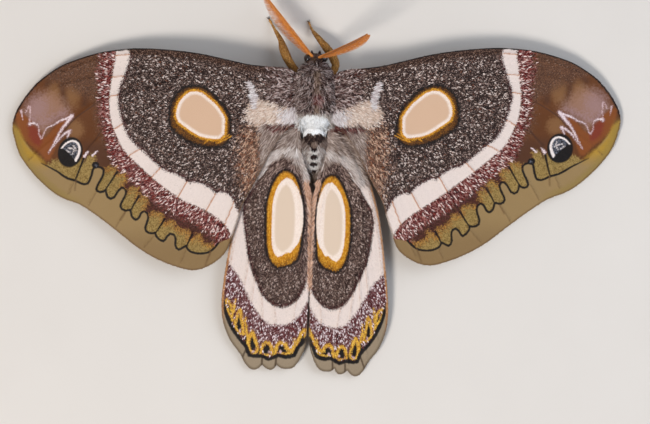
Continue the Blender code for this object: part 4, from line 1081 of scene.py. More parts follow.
def kites(name, roots, ups, ways, lengths, widths, lifts, bends, colours, patches, material):
    """Wing scales and hairs: each a thin closed kite with a ridge, four triangles."""
    aside = unit(np.cross(ways, ups))
    lifts = np.radians(lifts)
    run = ways * np.cos(lifts)[:, None] + ups * np.sin(lifts)[:, None]
    thickness = np.minimum(KITE_THICKNESS, KITE_THICKNESS_SHARE * widths)
    tips = roots + run * lengths[:, None] + aside * bends[:, None]
    feet = roots - ups * KITE_SINK
    under_belt = thickness + (1 - KITE_BELT) * KITE_SINK
    belt = roots + run * (KITE_BELT * lengths)[:, None] - ups * under_belt[:, None]
    lefts = belt - aside * (widths / 2)[:, None]
    rights = belt + aside * (widths / 2)[:, None]
    verts = np.stack((feet, lefts, tips, rights), 1).reshape(-1, 3)
    kite = np.array(((0, 2, 1), (0, 3, 2), (0, 1, 3), (1, 2, 3)))
    faces = (np.arange(len(roots))[:, None, None] * 4 + kite).reshape(-1, 3)
    spread = np.array(((0, -0.5), (-0.5, 0), (0, 0.5), (0.5, 0))) * PATCH
    uv = (patches[:, None, None, :] + spread[kite][None]).reshape(-1, 2)
    # Painted shade and light: each scale's colour is darker at its foot and lighter at its tip
    shade = np.repeat(colours, 4, 0).reshape(-1, 4, 3) * np.array(KITE_PAINTED_SHADES)[None, :, None]
    return make_mesh(name, verts, faces, np.clip(shade.reshape(-1, 3), 0, 1), uv, material)


def locks(name, roots, ups, ways, lengths, widths, lifts, curls, colours, patches, material, rings=3):
    """Body hair: tapered three-sided locks that rise from the skin, curl aside and bend over along it."""
    aside = unit(np.cross(ways, ups))
    lifts, curls = np.radians(lifts), np.radians(curls)
    centres = [roots]
    for index in range(rings):
        share = (index + 0.5) / rings
        turned = ways * np.cos(curls * share)[:, None] + aside * np.sin(curls * share)[:, None]
        rise = lifts * (1 - 0.8 * share)
        run = turned * np.cos(rise)[:, None] + ups * np.sin(rise)[:, None]
        centres.append(centres[-1] + run * (lengths / rings)[:, None])
    corners = []
    for index in range(rings):
        half = (widths * (1 - 0.45 * (index / rings) ** 1.5) / 2)[:, None]
        centre = centres[index] - ups * (0.1 if index == 0 else 0.0)
        low = centre - ups * (0.3 * half)
        corners += [low - aside * half, low + aside * half, centre + ups * (0.45 * half)]
    count = 3 * rings + 1
    verts = np.stack((*corners, centres[-1]), 1).reshape(-1, 3)
    lock = [(0, 2, 1)]
    for i in range(3):
        j = (i + 1) % 3
        for first in range(0, 3 * rings - 3, 3):
            lock += [(first + i, first + j, first + j + 3), (first + i, first + j + 3, first + i + 3)]
        lock += [(3 * rings - 3 + i, 3 * rings - 3 + j, 3 * rings)]
    lock = np.array(lock)
    faces = (np.arange(len(roots))[:, None, None] * count + lock).reshape(-1, 3)
    turn = np.arange(count) * (2 * math.pi / count)
    spread = np.stack((np.cos(turn), np.sin(turn)), 1) * PATCH / 2
    uv = (patches[:, None, None, :] + spread[lock][None]).reshape(-1, 2)
    # Painted shade: the lock's colour is darkened, and its last corners and tip are painted lighter
    shades = LOCK_PAINTED_SHADE + (np.arange(count) >= LOCK_PAINTED_LIGHT_FROM) / rings
    shade = np.repeat(colours, count, 0).reshape(-1, count, 3) * shades[None, :, None]
    return make_mesh(name, verts, faces, np.clip(shade.reshape(-1, 3), 0, 1), uv, material, smooth=True)


def node(tree, kind, inputs=None, **settings):
    """A shader node with its settings, and its inputs linked or set."""
    made = tree.nodes.new(kind)
    for key, value in settings.items():
        setattr(made, key, value)
    for key, value in (inputs or {}).items():
        if isinstance(value, bpy.types.NodeSocket):
            tree.links.new(value, made.inputs[key])
        else:
            made.inputs[key].default_value = value
    return made


def new_material(name, **constants):
    """A Principled material. Returns it with its tree, shader and object coordinates in millimetres."""
    material = bpy.data.materials.new(name)
    material.use_nodes = True
    tree = material.node_tree
    shader = tree.nodes["Principled BSDF"]
    for key, value in constants.items():
        shader.inputs[key.replace("_", " ").title().replace("Ior", "IOR")].default_value = value
    coords = node(tree, "ShaderNodeTexCoord")
    scaled = node(tree, "ShaderNodeVectorMath", {0: coords.outputs["Object"], 1: (1 / MM,) * 3},
                  operation="MULTIPLY")
    return material, tree, shader, scaled.outputs[0]


def skin_material(name, cell, bump, roughness):
    """Scaled or furred skin: dark ground with flecks of the lighter colour, cell by cell, and fine relief."""
    material, tree, shader, place = new_material(name, specular_ior_level=0.2)
    ground = node(tree, "ShaderNodeAttribute", attribute_name="tint")
    fleck = node(tree, "ShaderNodeAttribute", attribute_name="fleck")
    cells = node(tree, "ShaderNodeTexVoronoi", {"Vector": place, "Scale": 1 / cell, "Randomness": 1.0})
    lot = node(tree, "ShaderNodeSeparateColor", {0: cells.outputs["Color"]})
    hit = node(tree, "ShaderNodeMath", {0: lot.outputs[0], 1: fleck.outputs["Alpha"]}, operation="LESS_THAN")
    factor, first, second, mix_out = 0, 6, 7, 2  # the sockets for colours
    mixed = node(tree, "ShaderNodeMix", {factor: hit.outputs[0], first: ground.outputs["Color"],
                                         second: fleck.outputs["Color"]}, data_type="RGBA")
    tree.links.new(mixed.outputs[mix_out], shader.inputs["Base Color"])
    cloud = node(tree, "ShaderNodeTexNoise", {"Vector": place, "Scale": 1.5, "Detail": 6.0})
    rough = node(tree, "ShaderNodeMapRange", {"Value": cloud.outputs[0], "To Min": roughness - 0.1,
                                              "To Max": roughness + 0.1})
    tree.links.new(rough.outputs[0], shader.inputs["Roughness"])
    relief = node(tree, "ShaderNodeBump", {"Height": cells.outputs["Distance"], "Strength": bump,
                                           "Distance": 0.05 * MM})
    tree.links.new(relief.outputs[0], shader.inputs["Normal"])
    return material


def coat_material(name, roughness=0.62, sheen=0.03):
    """Scales and hair, each in its own colour, with a faint grain along it."""
    material, tree, shader, place = new_material(name, sheen_weight=sheen, sheen_roughness=0.4,
                                                 specular_ior_level=0.15)
    tint = node(tree, "ShaderNodeAttribute", attribute_name="tint")
    grain = node(tree, "ShaderNodeTexNoise", {"Vector": place, "Scale": 9.0, "Detail": 3.0})
    shade = node(tree, "ShaderNodeMapRange", {"Value": grain.outputs[0], "From Min": 0.3, "From Max": 0.7,
                                              "To Min": 0.82, "To Max": 1.12})
    coloured = node(tree, "ShaderNodeVectorMath", {0: tint.outputs["Color"]}, operation="SCALE")
    tree.links.new(shade.outputs[0], coloured.inputs["Scale"])
    tree.links.new(coloured.outputs[0], shader.inputs["Base Color"])
    rough = node(tree, "ShaderNodeMapRange", {"Value": grain.outputs[0], "To Min": roughness - 0.12,
                                              "To Max": roughness + 0.12})
    tree.links.new(rough.outputs[0], shader.inputs["Roughness"])
    return material


def make_wing_skin(plan, side, paint, rng, material):
    """A wing's sheet, closed round the margin, with its markings. It is finest along their edges."""
    rim = plan.rim
    count = len(rim)
    ring = [(i, (i + 1) % count) for i in range(count)]

    def painted(flat, fray):
        return paint(marking_places(flat, plan.wing, side), fray * rng.uniform(-1, 1, len(flat)),
                     plan.vein_gap.at(flat), plan.rim_gap.at(flat), flat)

    edges = Field(plan.low, plan.high, 0.3, lambda points: painted(points, 0.0).edge)
    sheets = []
    for step, sign in ((TOP_STEP, 1), (UNDER_STEP, -1)):
        flat = np.vstack((rim, plan.grid(step / 2, 0.4 * step, lambda points: edges.at(points) < 1.3 * step)))
        places = [Vector(point) for point in flat]
        points, _, faces, _, _, _ = delaunay_2d_cdt(places, ring, [list(range(count))], 1, 1e-5)
        assert len(points) == len(flat)
        faces = np.array([face[:] for face in faces])
        a, b, c = (flat[faces[:, i]] for i in range(3))
        turn = (b - a)[:, 0] * (c - a)[:, 1] - (b - a)[:, 1] * (c - a)[:, 0]
        upward = (turn > 0) == (SIDES[side] > 0)
        faces = np.where((upward == (sign > 0))[:, None], faces, faces[:, ::-1])
        verts = middle_sheet(flat, plan, side)
        verts[:, 2] += sign * plan.half_thickness(flat)
        mean, fleck = painted(flat, 1.0).colours()
        if sign < 0:
            mean, fleck[:, :3] = under_tone(mean), under_tone(fleck[:, :3])
        sheets.append((verts, faces, mean, fleck, unwrap(flat, plan, sign < 0)))
    verts, mean, fleck, uv = (np.vstack((sheets[0][i], sheets[1][i])) for i in (0, 2, 3, 4))
    shift = len(sheets[0][0])
    top = np.arange(count)
    under, following = top + shift, np.roll(top, -1)
    walls = np.vstack((np.column_stack((top, top[following], under[following])),
                       np.column_stack((top, under[following], under))))
    a, b, c = (verts[walls[:, i]] for i in range(3))
    outward = np.cross(b - a, c - a)[:, :2]
    if (outward * (a[:, :2] - verts[:count, :2].mean(0))).sum() < 0:
        walls = walls[:, ::-1]
    faces = np.vstack((sheets[0][1], sheets[1][1] + shift, walls))
    corners = uv[faces]
    below = walls >= shift
    corners[-len(walls):] = uv[np.where(below, walls - shift, walls)] + 0.002 * below[..., None]
    return make_mesh(f"{plan.wing}_{side}_skin", verts, faces, mean, corners.reshape(-1, 2), material,
                     smooth=True, fleck=fleck)


def under_tone(colours):
    """The duller colours of a wing's underside."""
    return colours * 0.6 + linear((132, 104, 80)) * 0.4


def make_wing_coat(plan, side, under, paint, rng, material):
    """The scales and hairs over one face of a wing, lying away from its root."""
    wanted = (PLACES_UNDER if under else PLACES_TOP)[plan.wing]
    step = math.sqrt(len(plan.grid(1.0, 0)) / wanted)
    flat = plan.grid(step, 0)
    flat = flat + rng.uniform(-0.5, 0.5, flat.shape) * step
    flat = flat[inside(flat, plan.rim)]
    places = marking_places(flat, plan.wing, side)
    work = paint(places, rng.uniform(-1, 1, len(flat)), plan.vein_gap.at(flat), plan.rim_gap.at(flat), flat)
    zones, colours = work.pick(rng)
    styles = np.array([STYLES.get(zone, STYLES[""]) for zone in zones])
    keep = ~np.isin(zones, BARE) & (rng.random(len(flat)) < styles[:, 5])
    way = unit(places - LIE_CENTRE[plan.wing])
    inward = inward_pull(plan, places, flat)
    way = unit(way - np.column_stack((inward, 0 * inward)))
    stray = np.radians(styles[:, 3]) * rng.uniform(-1, 1, len(flat))
    cos, sin = np.cos(stray), np.sin(stray)
    way = np.column_stack((way[:, 0] * cos - way[:, 1] * sin, way[:, 0] * sin + way[:, 1] * cos))
    lengths = styles[:, 0] * rng.uniform(0.75, 1.25, len(flat)) * (0.8 if under else 1.0)
    flat = flat - way * (0.45 * lengths)[:, None]
    keep &= inside(flat, plan.rim)
    flat, way, styles, colours, lengths = (kept[keep] for kept in (flat, way, styles, colours, lengths))
    lengths = np.where(inward[keep] > 0.3, 1.1 * lengths, lengths * clearance(flat, way, lengths, plan))
    if under:
        colours = under_tone(colours)
    light = colours.sum(1) / 1.2
    widths = styles[:, 1] * rng.uniform(0.8, 1.2, len(flat)) * (1.5 if under else 1.0) * (0.8 + 0.35 * light)
    lifts = styles[:, 2] * rng.uniform(0.3, 1.0, len(flat)) * np.clip(0.3 + 1.3 * light, 0.3, 1.6)
    lifts = lifts * (0.6 if under else 1.0)
    bends = styles[:, 4] * rng.uniform(-1, 1, len(flat)) * lengths
    roots = middle_sheet(flat, plan, side)
    sign = -1 if under else 1
    roots[:, 2] += sign * plan.half_thickness(flat)
    ups = sheet_normals(flat, plan, side) * sign
    ways = np.column_stack((SIDES[side] * way[:, 0], way[:, 1], np.zeros(len(way))))
    ways = unit(ways - ups * (ways * ups).sum(1, keepdims=True))
    name = f"{plan.wing}_{side}_{'under' if under else 'top'}_scales"
    return kites(name, roots, ups, ways, lengths, widths, lifts, bends, colours,
                 unwrap(flat, plan, under), material)


def inward_pull(plan, places, flat):
    """How far the hairs turn in to the body: beside the collar, and along the hindwing's inner edge."""
    pull = 0.9 * fade(3.9, 2.8, places[:, 0]) * (np.abs(places[:, 1] + 3) < 6)
    if plan.wing == "hindwing":
        pull += (0.8 * fade(1.3, 0.5, flat[:, 0]) * fade(-9.0, -11.0, places[:, 1])
                 * fade(-36, -28, places[:, 1]))
    return pull


def clearance(flat, way, lengths, plan):
    """Shortens what would reach far past the margin."""
    tips = flat + way * lengths[:, None]
    return np.where(inside(tips, plan.rim), 1.0, np.clip(0.35 + plan.rim_gap.at(flat) / lengths, 0.35, 1.0))


def make_fringe(plan, side, paint, rng, material):
    """Short scales that stand out all along the margin."""
    rim = spline(OUTLINES[plan.wing], FRINGE_STEP, SHARP_CORNERS[plan.wing], closed=True)
    ahead = unit(np.roll(rim, -1, 0) - np.roll(rim, 1, 0))
    outward = np.column_stack((ahead[:, 1], -ahead[:, 0]))
    if inside((rim + outward * 0.2), plan.rim).mean() > 0.5:
        outward = -outward
    flat = rim - outward * 0.12
    places = marking_places(flat, plan.wing, side)
    quiet = places[:, 0] > 3.4 if plan.wing == "forewing" else (places[:, 1] < 0.0) & (flat[:, 0] > 1.4)
    flat, outward, places = flat[quiet], outward[quiet], places[quiet]
    work = paint(places, np.zeros(len(flat)), plan.vein_gap.at(flat), np.full(len(flat), 0.4), flat)
    _, colours = work.pick(rng)
    matrix, _ = placement(plan.wing, side)
    way = unit(outward @ matrix.T + 0.6 * unit(places - LIE_CENTRE[plan.wing]))
    front = way[:, 1] > 0.5
    count = len(flat)
    lengths = FRINGE_LENGTH * rng.uniform(0.6, 1.3, count) * np.where(front, 0.5, 1.0)
    roots = middle_sheet(flat, plan, side)
    ups = np.tile((0.0, 0.0, 1.0), (count, 1))
    ways = unit(np.column_stack((SIDES[side] * way[:, 0], way[:, 1], np.full(count, -0.05))))
    ups = unit(ups - ways * ways[:, 2:])
    widths = rng.uniform(0.08, 0.13, count)
    lifts = rng.uniform(-5, 5, count)
    return kites(f"{plan.wing}_{side}_fringe", roots, ups, ways, lengths, widths, lifts, 0 * lengths, colours,
                 unwrap(flat, plan, False), material)


def ring_faces(rings, sides):
    """The triangles between rings of vertices that follow one another."""
    faces = []
    for i in range(rings - 1):
        for j in range(sides):
            k = (j + 1) % sides
            a, b, c, d = i * sides + j, i * sides + k, (i + 1) * sides + k, (i + 1) * sides + j
            faces += [(a, c, b), (a, d, c)]
    return faces


def tube(stations, radii, sides=10):
    """The vertices and triangles of a closed tapering tube along stations."""
    stations = np.asarray(stations, float)
    ahead = unit(np.gradient(stations, axis=0))
    frame_up = np.array((0.0, 0.0, 1.0)) if abs(ahead[0][2]) < 0.9 else np.array((0.0, 1.0, 0.0))
    aside = unit(np.cross(ahead, frame_up))
    above = np.cross(aside, ahead)
    turn = np.arange(sides) * (2 * math.pi / sides)
    ring = aside[:, None] * np.cos(turn)[None, :, None] + above[:, None] * np.sin(turn)[None, :, None]
    verts = (stations[:, None] + ring * np.asarray(radii, float)[:, None, None]).reshape(-1, 3)
    start = stations[0] - ahead[0] * radii[0] * 0.6
    end = stations[-1] + ahead[-1] * radii[-1] * 0.6
    verts = np.vstack((verts, start, end))
    faces = ring_faces(len(stations), sides)
    last = len(stations) - 1
    for j in range(sides):
        k = (j + 1) % sides
        faces += [(len(verts) - 2, j, k), (len(verts) - 1, last * sides + k, last * sides + j)]
    return verts, np.array(faces)


def rounded(centre, half, boxiness=1.0, segments=40, rings=24):
    """The vertices and triangles of an ellipsoid with filled-out shoulders."""
    polar = np.linspace(0, math.pi, rings + 1)[1:-1]
    turn = np.arange(segments) * (2 * math.pi / segments)
    grid = np.stack((np.outer(np.sin(polar), np.cos(turn)), np.outer(np.sin(polar), np.sin(turn)),
                     np.outer(np.cos(polar), np.ones(segments))), -1).reshape(-1, 3)
    grid = np.vstack((grid, (0, 0, 1), (0, 0, -1)))
    verts = centre + half * np.sign(grid) * np.abs(grid) ** boxiness
    faces = ring_faces(rings - 1, segments)
    top, bottom, last = len(verts) - 2, len(verts) - 1, (rings - 2) * segments
    for j in range(segments):
        k = (j + 1) % segments
        faces += [(top, j, k), (bottom, last + k, last + j)]
    return verts, np.array(faces)


def merged(pieces):
    """Several (vertices, faces) as one."""
    verts, faces, start = [], [], 0
    for some_verts, some_faces in pieces:
        verts.append(some_verts)
        faces.append(some_faces + start)
        start += len(some_verts)
    return np.vstack(verts), np.vstack(faces)


def abdomen_radius(t):
    """The abdomen's radius along its length, ringed between its segments."""
    body = ABDOMEN_RADIUS * np.sin(math.pi * (0.16 + 0.84 * t)) ** 0.55
    groove = 0.14 * np.maximum(0.0, np.cos(2 * math.pi * t * ABDOMEN_SEGMENTS)) ** 3
    return np.maximum(body - groove - COAT_DEPTH["abdomen"], 0.05)


def leg_stations(name):
    """A leg's middle line and radii, with the joints of shin and foot drawn in."""
    sign = SIDES[name.rsplit("_", 1)[1]]
    path = spline(LEGS[name], 0.3)
    radii = path[:, 3] - COAT_DEPTH["leg"]
    foot = fade(1.4, 0.5, path[:, 2])
    beads = np.cos(np.arange(len(path)) * 1.6)
    radii = radii * (1 - foot * (0.22 + 0.12 * beads))
    path = path[:, :3] * (sign, 1, 1)
    path[:, 2] = np.where(foot > 0.9, np.maximum(path[:, 2], radii + 0.02), path[:, 2])
    return path, radii


def body_forms():
    """The closed forms under the coat that the skin joins."""
    inset = COAT_DEPTH["thorax"]
    forms = [rounded(THORAX_CENTRE, THORAX_HALF - (inset, 0.45 * inset, inset), THORAX_BOXINESS)]
    forms.append(rounded(HEAD_CENTRE, HEAD_HALF - COAT_DEPTH["head"], 0.95))
    neck = np.linspace(HEAD_CENTRE, THORAX_CENTRE, 12)[:6]
    forms.append(tube(neck, np.full(6, 1.05)))
    t = np.linspace(0.02, 0.985, 60)
    axis = ABDOMEN_ROOT + np.outer(t, ABDOMEN_TIP - ABDOMEN_ROOT)
    forms.append(tube(axis, abdomen_radius(t), 28))
    for sign in SIDES.values():
        root = HEAD_CENTRE + (sign * PALP_OUT, 0.7, -0.5)
        tip = HEAD_CENTRE + (sign * (PALP_OUT + 0.15), 0.7 + PALP_LENGTH, -0.55)
        forms.append(tube(np.linspace(root, tip, 6), np.linspace(0.32, 0.16, 6)))
    for name in LEGS:
        forms.append(tube(*leg_stations(name), 10))
    return merged(forms)


def form_gaps(points):
    """How far each point lies outside the thorax, head, abdomen and legs, and which way the legs run."""
    def ellipsoid(centre, half):
        reach = np.linalg.norm((points - centre) / half, axis=1)
        return (reach - 1) * half.min()

    axis = ABDOMEN_TIP - ABDOMEN_ROOT
    t = np.clip((points - ABDOMEN_ROOT) @ axis / (axis @ axis), 0, 1)
    abdomen = np.linalg.norm(points - ABDOMEN_ROOT - t[:, None] * axis, axis=1) - abdomen_radius(t)
    leg = np.full(len(points), 99.0)
    ways = np.zeros((len(points), 3))
    for name in LEGS:
        path, radii = leg_stations(name)
        ahead = unit(np.gradient(path, axis=0))
        for place, radius, way in zip(path, radii, ahead):
            gap = np.linalg.norm(points - place, axis=1) - radius
            closer = gap < leg
            leg[closer] = gap[closer]
            ways[closer] = way
    thorax = ellipsoid(THORAX_CENTRE, THORAX_HALF - COAT_DEPTH["thorax"])
    head = ellipsoid(HEAD_CENTRE, HEAD_HALF - COAT_DEPTH["head"])
    return {"thorax": thorax, "head": head, "abdomen": abdomen, "leg": leg}, ways


def make_body_skin(material, rng):
    """Head, thorax, abdomen and legs under one skin, with their markings."""
    verts, faces = body_forms()
    rough = bpy.data.meshes.new("body_forms")
    rough.from_pydata(verts.tolist(), [], faces.tolist())
    obj = bpy.data.objects.new("body_forms", rough)
    bpy.context.scene.collection.objects.link(obj)
    remesh = obj.modifiers.new("One_skin", "REMESH")
    remesh.mode = "VOXEL"
    remesh.voxel_size = BODY_VOXEL
    soften = obj.modifiers.new("Soften", "SMOOTH")
    soften.iterations = 3
    soften.factor = 0.5
    bpy.context.view_layer.update()
    mesh = bpy.data.meshes.new_from_object(obj.evaluated_get(bpy.context.evaluated_depsgraph_get()))
    mesh.calc_loop_triangles()
    faces = np.empty(len(mesh.loop_triangles) * 3, np.int32)
    mesh.loop_triangles.foreach_get("vertices", faces)
    faces = faces.reshape(-1, 3)
    verts = np.empty(len(mesh.vertices) * 3)
    mesh.vertices.foreach_get("co", verts)
    verts = verts.reshape(-1, 3)
    verts[:, 2] = np.maximum(verts[:, 2], 0.0)
    bpy.data.objects.remove(obj, do_unlink=True)
    bpy.data.meshes.remove(mesh)
    work = paint_whole_body(verts, rng)
    mean, fleck = work.colours()
    skin = make_mesh("body_skin", verts, faces, mean, None, material, smooth=True, fleck=fleck)
    bpy.context.view_layer.objects.active = skin
    skin.select_set(True)
    skin.data.uv_layers.new(name="OFBake")
    bpy.ops.object.mode_set(mode="EDIT")
    bpy.ops.mesh.select_all(action="SELECT")
    bpy.ops.uv.smart_project(angle_limit=math.radians(66), island_margin=0.004)
    bpy.ops.object.mode_set(mode="OBJECT")
    skin.select_set(False)
    uv = np.empty(len(faces) * 6, np.float32)
    skin.data.uv_layers["OFBake"].uv.foreach_get("vector", uv)
    return skin, verts, faces, uv.reshape(-1, 3, 2)


def paint_whole_body(points, rng):
    """The zones of the body: from above by their place, elsewhere by the form they are on."""
    gaps, _ = form_gaps(points)
    ragged = rng.uniform(-1, 1, len(points))
    work = paint_body(points[:, :2] * (-1, 1), ragged)
    trunk_gap = np.minimum(gaps["thorax"], np.minimum(gaps["abdomen"], gaps["head"]))
    on_leg = fade(0.05, -0.05, gaps["leg"] - trunk_gap)
    belly = fade(4.2, 3.0, points[:, 2] + 0.3 * ragged) * (points[:, 1] < 11)
    work.lay("belly", belly)
    front = fade(11.4, 12.2, points[:, 1])
    work.lay("head", front)
    work.lay("leg", on_leg * fade(5.6, 4.4, points[:, 2]))
    return work


def sample(verts, faces, uv, count, rng):
    """Random places on a mesh: points, normals, unwrap places and triangle numbers."""
    a, b, c = (verts[faces[:, i]] for i in range(3))
    cross = np.cross(b - a, c - a)
    area = np.linalg.norm(cross, axis=1)
    which = np.searchsorted(np.cumsum(area) / area.sum(), rng.random(count))
    which = np.minimum(which, len(faces) - 1)
    u, v = rng.random(count), rng.random(count)
    flip = u + v > 1
    u, v = np.where(flip, 1 - u, u), np.where(flip, 1 - v, v)
    points = a[which] + u[:, None] * (b - a)[which] + v[:, None] * (c - a)[which]
    place = uv[which]
    patch = place[:, 0] + u[:, None] * (place[:, 1] - place[:, 0]) + v[:, None] * (place[:, 2] - place[:, 0])
    return points, unit(cross[which]), patch


def body_lie(points, form, leg_ways):
    """Which way the hair lies on the body before it is laid flat to the skin."""
    x, y, z = points.T
    parted = np.clip(x / 2.2, -1, 1)
    back = np.column_stack((0.8 * parted, np.full(len(x), -1.0), np.full(len(x), -0.25)))
    ruff = np.column_stack((0.9 * parted, np.full(len(x), 0.75), np.full(len(x), 0.1)))
    turn = fade(10.4, 11.8, y)[:, None]
    ways = back * (1 - turn) + ruff * turn
    ways[:, 0] += parted * fade(2.8, 1.4, y)
    flank = np.clip((x + 0.1) / 1.3, -1, 1)
    flank = np.where(z > 4.6, flank * np.abs(flank), 0.0)
    trunk = np.column_stack((1.3 * flank, np.full(len(x), -1.0), np.full(len(x), 0.0)))
    ways[form == "abdomen"] = trunk[form == "abdomen"]
    snout = np.column_stack((0.5 * x, np.full(len(x), 0.9), np.full(len(x), -0.25)))
    ways[form == "head"] = snout[form == "head"]
    ways[form == "leg"] = leg_ways[form == "leg"]
    return ways


def make_body_coats(verts, faces, uv, materials, rng):
    """The hair of the body, one coat for each of its forms."""
    points, normals, patches = sample(verts, faces, uv, BODY_PLACES, rng)
    gaps, leg_ways = form_gaps(points)
    names = np.array(list(gaps))
    form = names[np.argmin([gaps[name] for name in names], 0)]
    ways = body_lie(points, form, leg_ways)
    ways = ways + rng.normal(0, 1, ways.shape) * np.array([BODY_HAIR[name][5] for name in form])[:, None]
    ways = unit(ways - normals * (ways * normals).sum(1, keepdims=True))
    sizes = np.array([BODY_HAIR[name][1] for name in form]) * rng.uniform(0.7, 1.2, len(points))
    work = paint_whole_body(points + ways * (0.5 * sizes)[:, None], rng)
    zones, colours = work.pick(rng)
    flat = np.isin(zones, FLAT_ZONES) & (np.abs(points[:, 0]) < 2.0)
    fit_to_place(sizes, points, form, flat)
    # The collar's hair is painted brighter, so that the locks' painted shade darkens it less
    colours[zones == "collar"] *= 1.25
    free = np.min([np.linalg.norm(points - eye_centre(side), axis=1) for side in SIDES], 0)
    free = free > EYE_RADIUS + EYE_CLEAR
    tips = points + (ways + normals * 0.3) * sizes[:, None]
    free &= (tips[:, 2] > FLOOR_CLEAR) & (points[:, 2] > ROOT_CLEAR)
    coats = []
    for name, (count, _, width, lift, curl, _, rings) in BODY_HAIR.items():
        mine = np.flatnonzero((form == name) & free)[:count]
        widths = width * rng.uniform(0.75, 1.25, len(mine)) * np.where(zones[mine] == "collar", 1.6, 1.0)
        lifts = lift * rng.uniform(0.4, 1.4, len(mine)) * np.where(flat[mine], 0.4, 1.0)
        curls = curl * rng.uniform(-1, 1, len(mine)) * np.where(flat[mine], 0.3, 1.0)
        coats.append(locks(f"{name}_fur", points[mine], normals[mine], ways[mine], sizes[mine], widths,
                           lifts, curls, colours[mine], patches[mine], materials[name], rings))
    return coats


def fit_to_place(sizes, points, form, flat):
    """Makes the hair longer beside the waist, at the tail and up the legs, and shorter where it lies flat."""
    sizes *= np.where(flat, 0.6, 1.0)
    beside = (np.abs(points[:, 0] + 0.1) > 1.1) & (points[:, 1] < 2.2) & (points[:, 2] > 4.0)
    sizes *= np.where(beside, 1.9, 1.0)
    sizes *= np.where(form == "abdomen", 1 + 0.8 * fade(-7.4, -8.8, points[:, 1]), 1.0)
    sizes *= np.where(form == "leg", 0.6 + 0.6 * fade(0.6, 3.0, points[:, 2]), 1.0)
    sizes *= np.where((form == "head") & (points[:, 1] > HEAD_CENTRE[1] + 1.1), 0.6, 1.0)


def eye_centre(side):
    """The middle of a compound eye."""
    return HEAD_CENTRE + (SIDES[side] * EYE_OUT, EYE_FORWARD, -EYE_DOWN)


def make_eye(side, material):
    """A compound eye's dome."""
    verts, faces = rounded(eye_centre(side), np.full(3, EYE_RADIUS), 1.0, 48, 28)
    return make_mesh(f"eye_{side}_dome", verts, faces, None, None, material, smooth=True)


def eye_material():
    """Dark and glossy, with fine facets."""
    material, tree, shader, place = new_material("compound_eye", roughness=0.14, coat_weight=0.6)
    facets = node(tree, "ShaderNodeTexVoronoi", {"Vector": place, "Scale": 11.0}, feature="F1")
    ramp = node(tree, "ShaderNodeValToRGB", {"Fac": facets.outputs["Distance"]})
    ramp.color_ramp.elements[0].color = (0.03, 0.018, 0.014, 1)
    ramp.color_ramp.elements[1].color = (0.008, 0.005, 0.004, 1)
    tree.links.new(ramp.outputs[0], shader.inputs["Base Color"])
    relief = node(tree, "ShaderNodeBump", {"Height": facets.outputs["Distance"], "Strength": 0.5,
                                           "Distance": 0.03 * MM}, invert=True)
    tree.links.new(relief.outputs[0], shader.inputs["Normal"])
    return material


def horn_material(name, light, dark, roughness, scale):
    """Horn of the antennae or claws: mottled along its length, with a satin surface."""
    material, tree, shader, place = new_material(name)
    mottle = node(tree, "ShaderNodeTexNoise", {"Vector": place, "Scale": scale, "Detail": 4.0})
    ramp = node(tree, "ShaderNodeValToRGB", {"Fac": mottle.outputs[0]})
    ramp.color_ramp.elements[0].position = 0.35
    ramp.color_ramp.elements[1].position = 0.65
    ramp.color_ramp.elements[0].color = (*linear(dark), 1)
    ramp.color_ramp.elements[1].color = (*linear(light), 1)
    tree.links.new(ramp.outputs[0], shader.inputs["Base Color"])
    rough = node(tree, "ShaderNodeMapRange", {"Value": mottle.outputs[0], "To Min": roughness - 0.1,
                                              "To Max": roughness + 0.15})
    tree.links.new(rough.outputs[0], shader.inputs["Roughness"])
    relief = node(tree, "ShaderNodeBump", {"Height": mottle.outputs[0], "Strength": 0.4,
                                           "Distance": 0.03 * MM})
    tree.links.new(relief.outputs[0], shader.inputs["Normal"])
    return material


def make_antenna(side, material, rng):
    """A feathered antenna: a ringed shaft with two rows of fine paired barbs."""
    root, heading, rise, twist = ANTENNA_POSES[side]
    turned = (Matrix.Translation(root) @ Matrix.Rotation(math.radians(heading - 90), 4, "Z")
              @ Matrix.Rotation(math.radians(rise), 4, "X") @ Matrix.Rotation(math.radians(twist), 4, "Y"))
    turned = np.array(turned)

    def in_world(points):
        return points @ turned[:3, :3].T + turned[:3, 3]

    def shaft_at(t):
        t = np.asarray(t, float)
        aside = ANTENNA_BOW * np.sin(math.pi * t) * SIDES[side] * 0.5
        return np.stack((aside, ANTENNA_LENGTH * t, 0 * t), -1)

    t = np.linspace(0, 1, 160)
    ringed = 1 + 0.07 * np.cos(t * BARB_PAIRS * 2 * math.pi)
    radii = (ANTENNA_RADII[0] + (ANTENNA_RADII[1] - ANTENNA_RADII[0]) * t) * ringed
    pieces = [tube(in_world(shaft_at(t)), radii, 8)]
    spread, lift = math.radians(BARB_SPREAD), math.radians(BARB_DIHEDRAL[side])
    for number in range(BARB_PAIRS * 2):
        t = BARBS_FROM + BARBS_REACH * number / (BARB_PAIRS * 2 - 1)
        length = BARB_LENGTH * (0.12 + 0.88 * math.sin(math.pi * (t * 0.93 + 0.05)) ** 0.75)
        tilt = lift + (BARB_TILT if number % 2 else -BARB_TILT)
        for sign in (-1, 1):
            away = spread + rng.uniform(-0.03, 0.03)
            out = math.sin(away)
            way = np.array((sign * out * math.cos(tilt), math.cos(away), out * math.sin(tilt)))
            s = np.linspace(0, 1, 5)[:, None]
            curl = np.array((0.0, BARB_CURL * length, 0.0)) * s**2
            stations = shaft_at(t) + way * length * s + curl
            pieces.append(tube(in_world(stations), np.linspace(*BARB_RADII, 5), 4))
    verts, faces = merged(pieces)
    return make_mesh(f"antenna_{side}_comb", verts, faces, None, None, material, smooth=True)


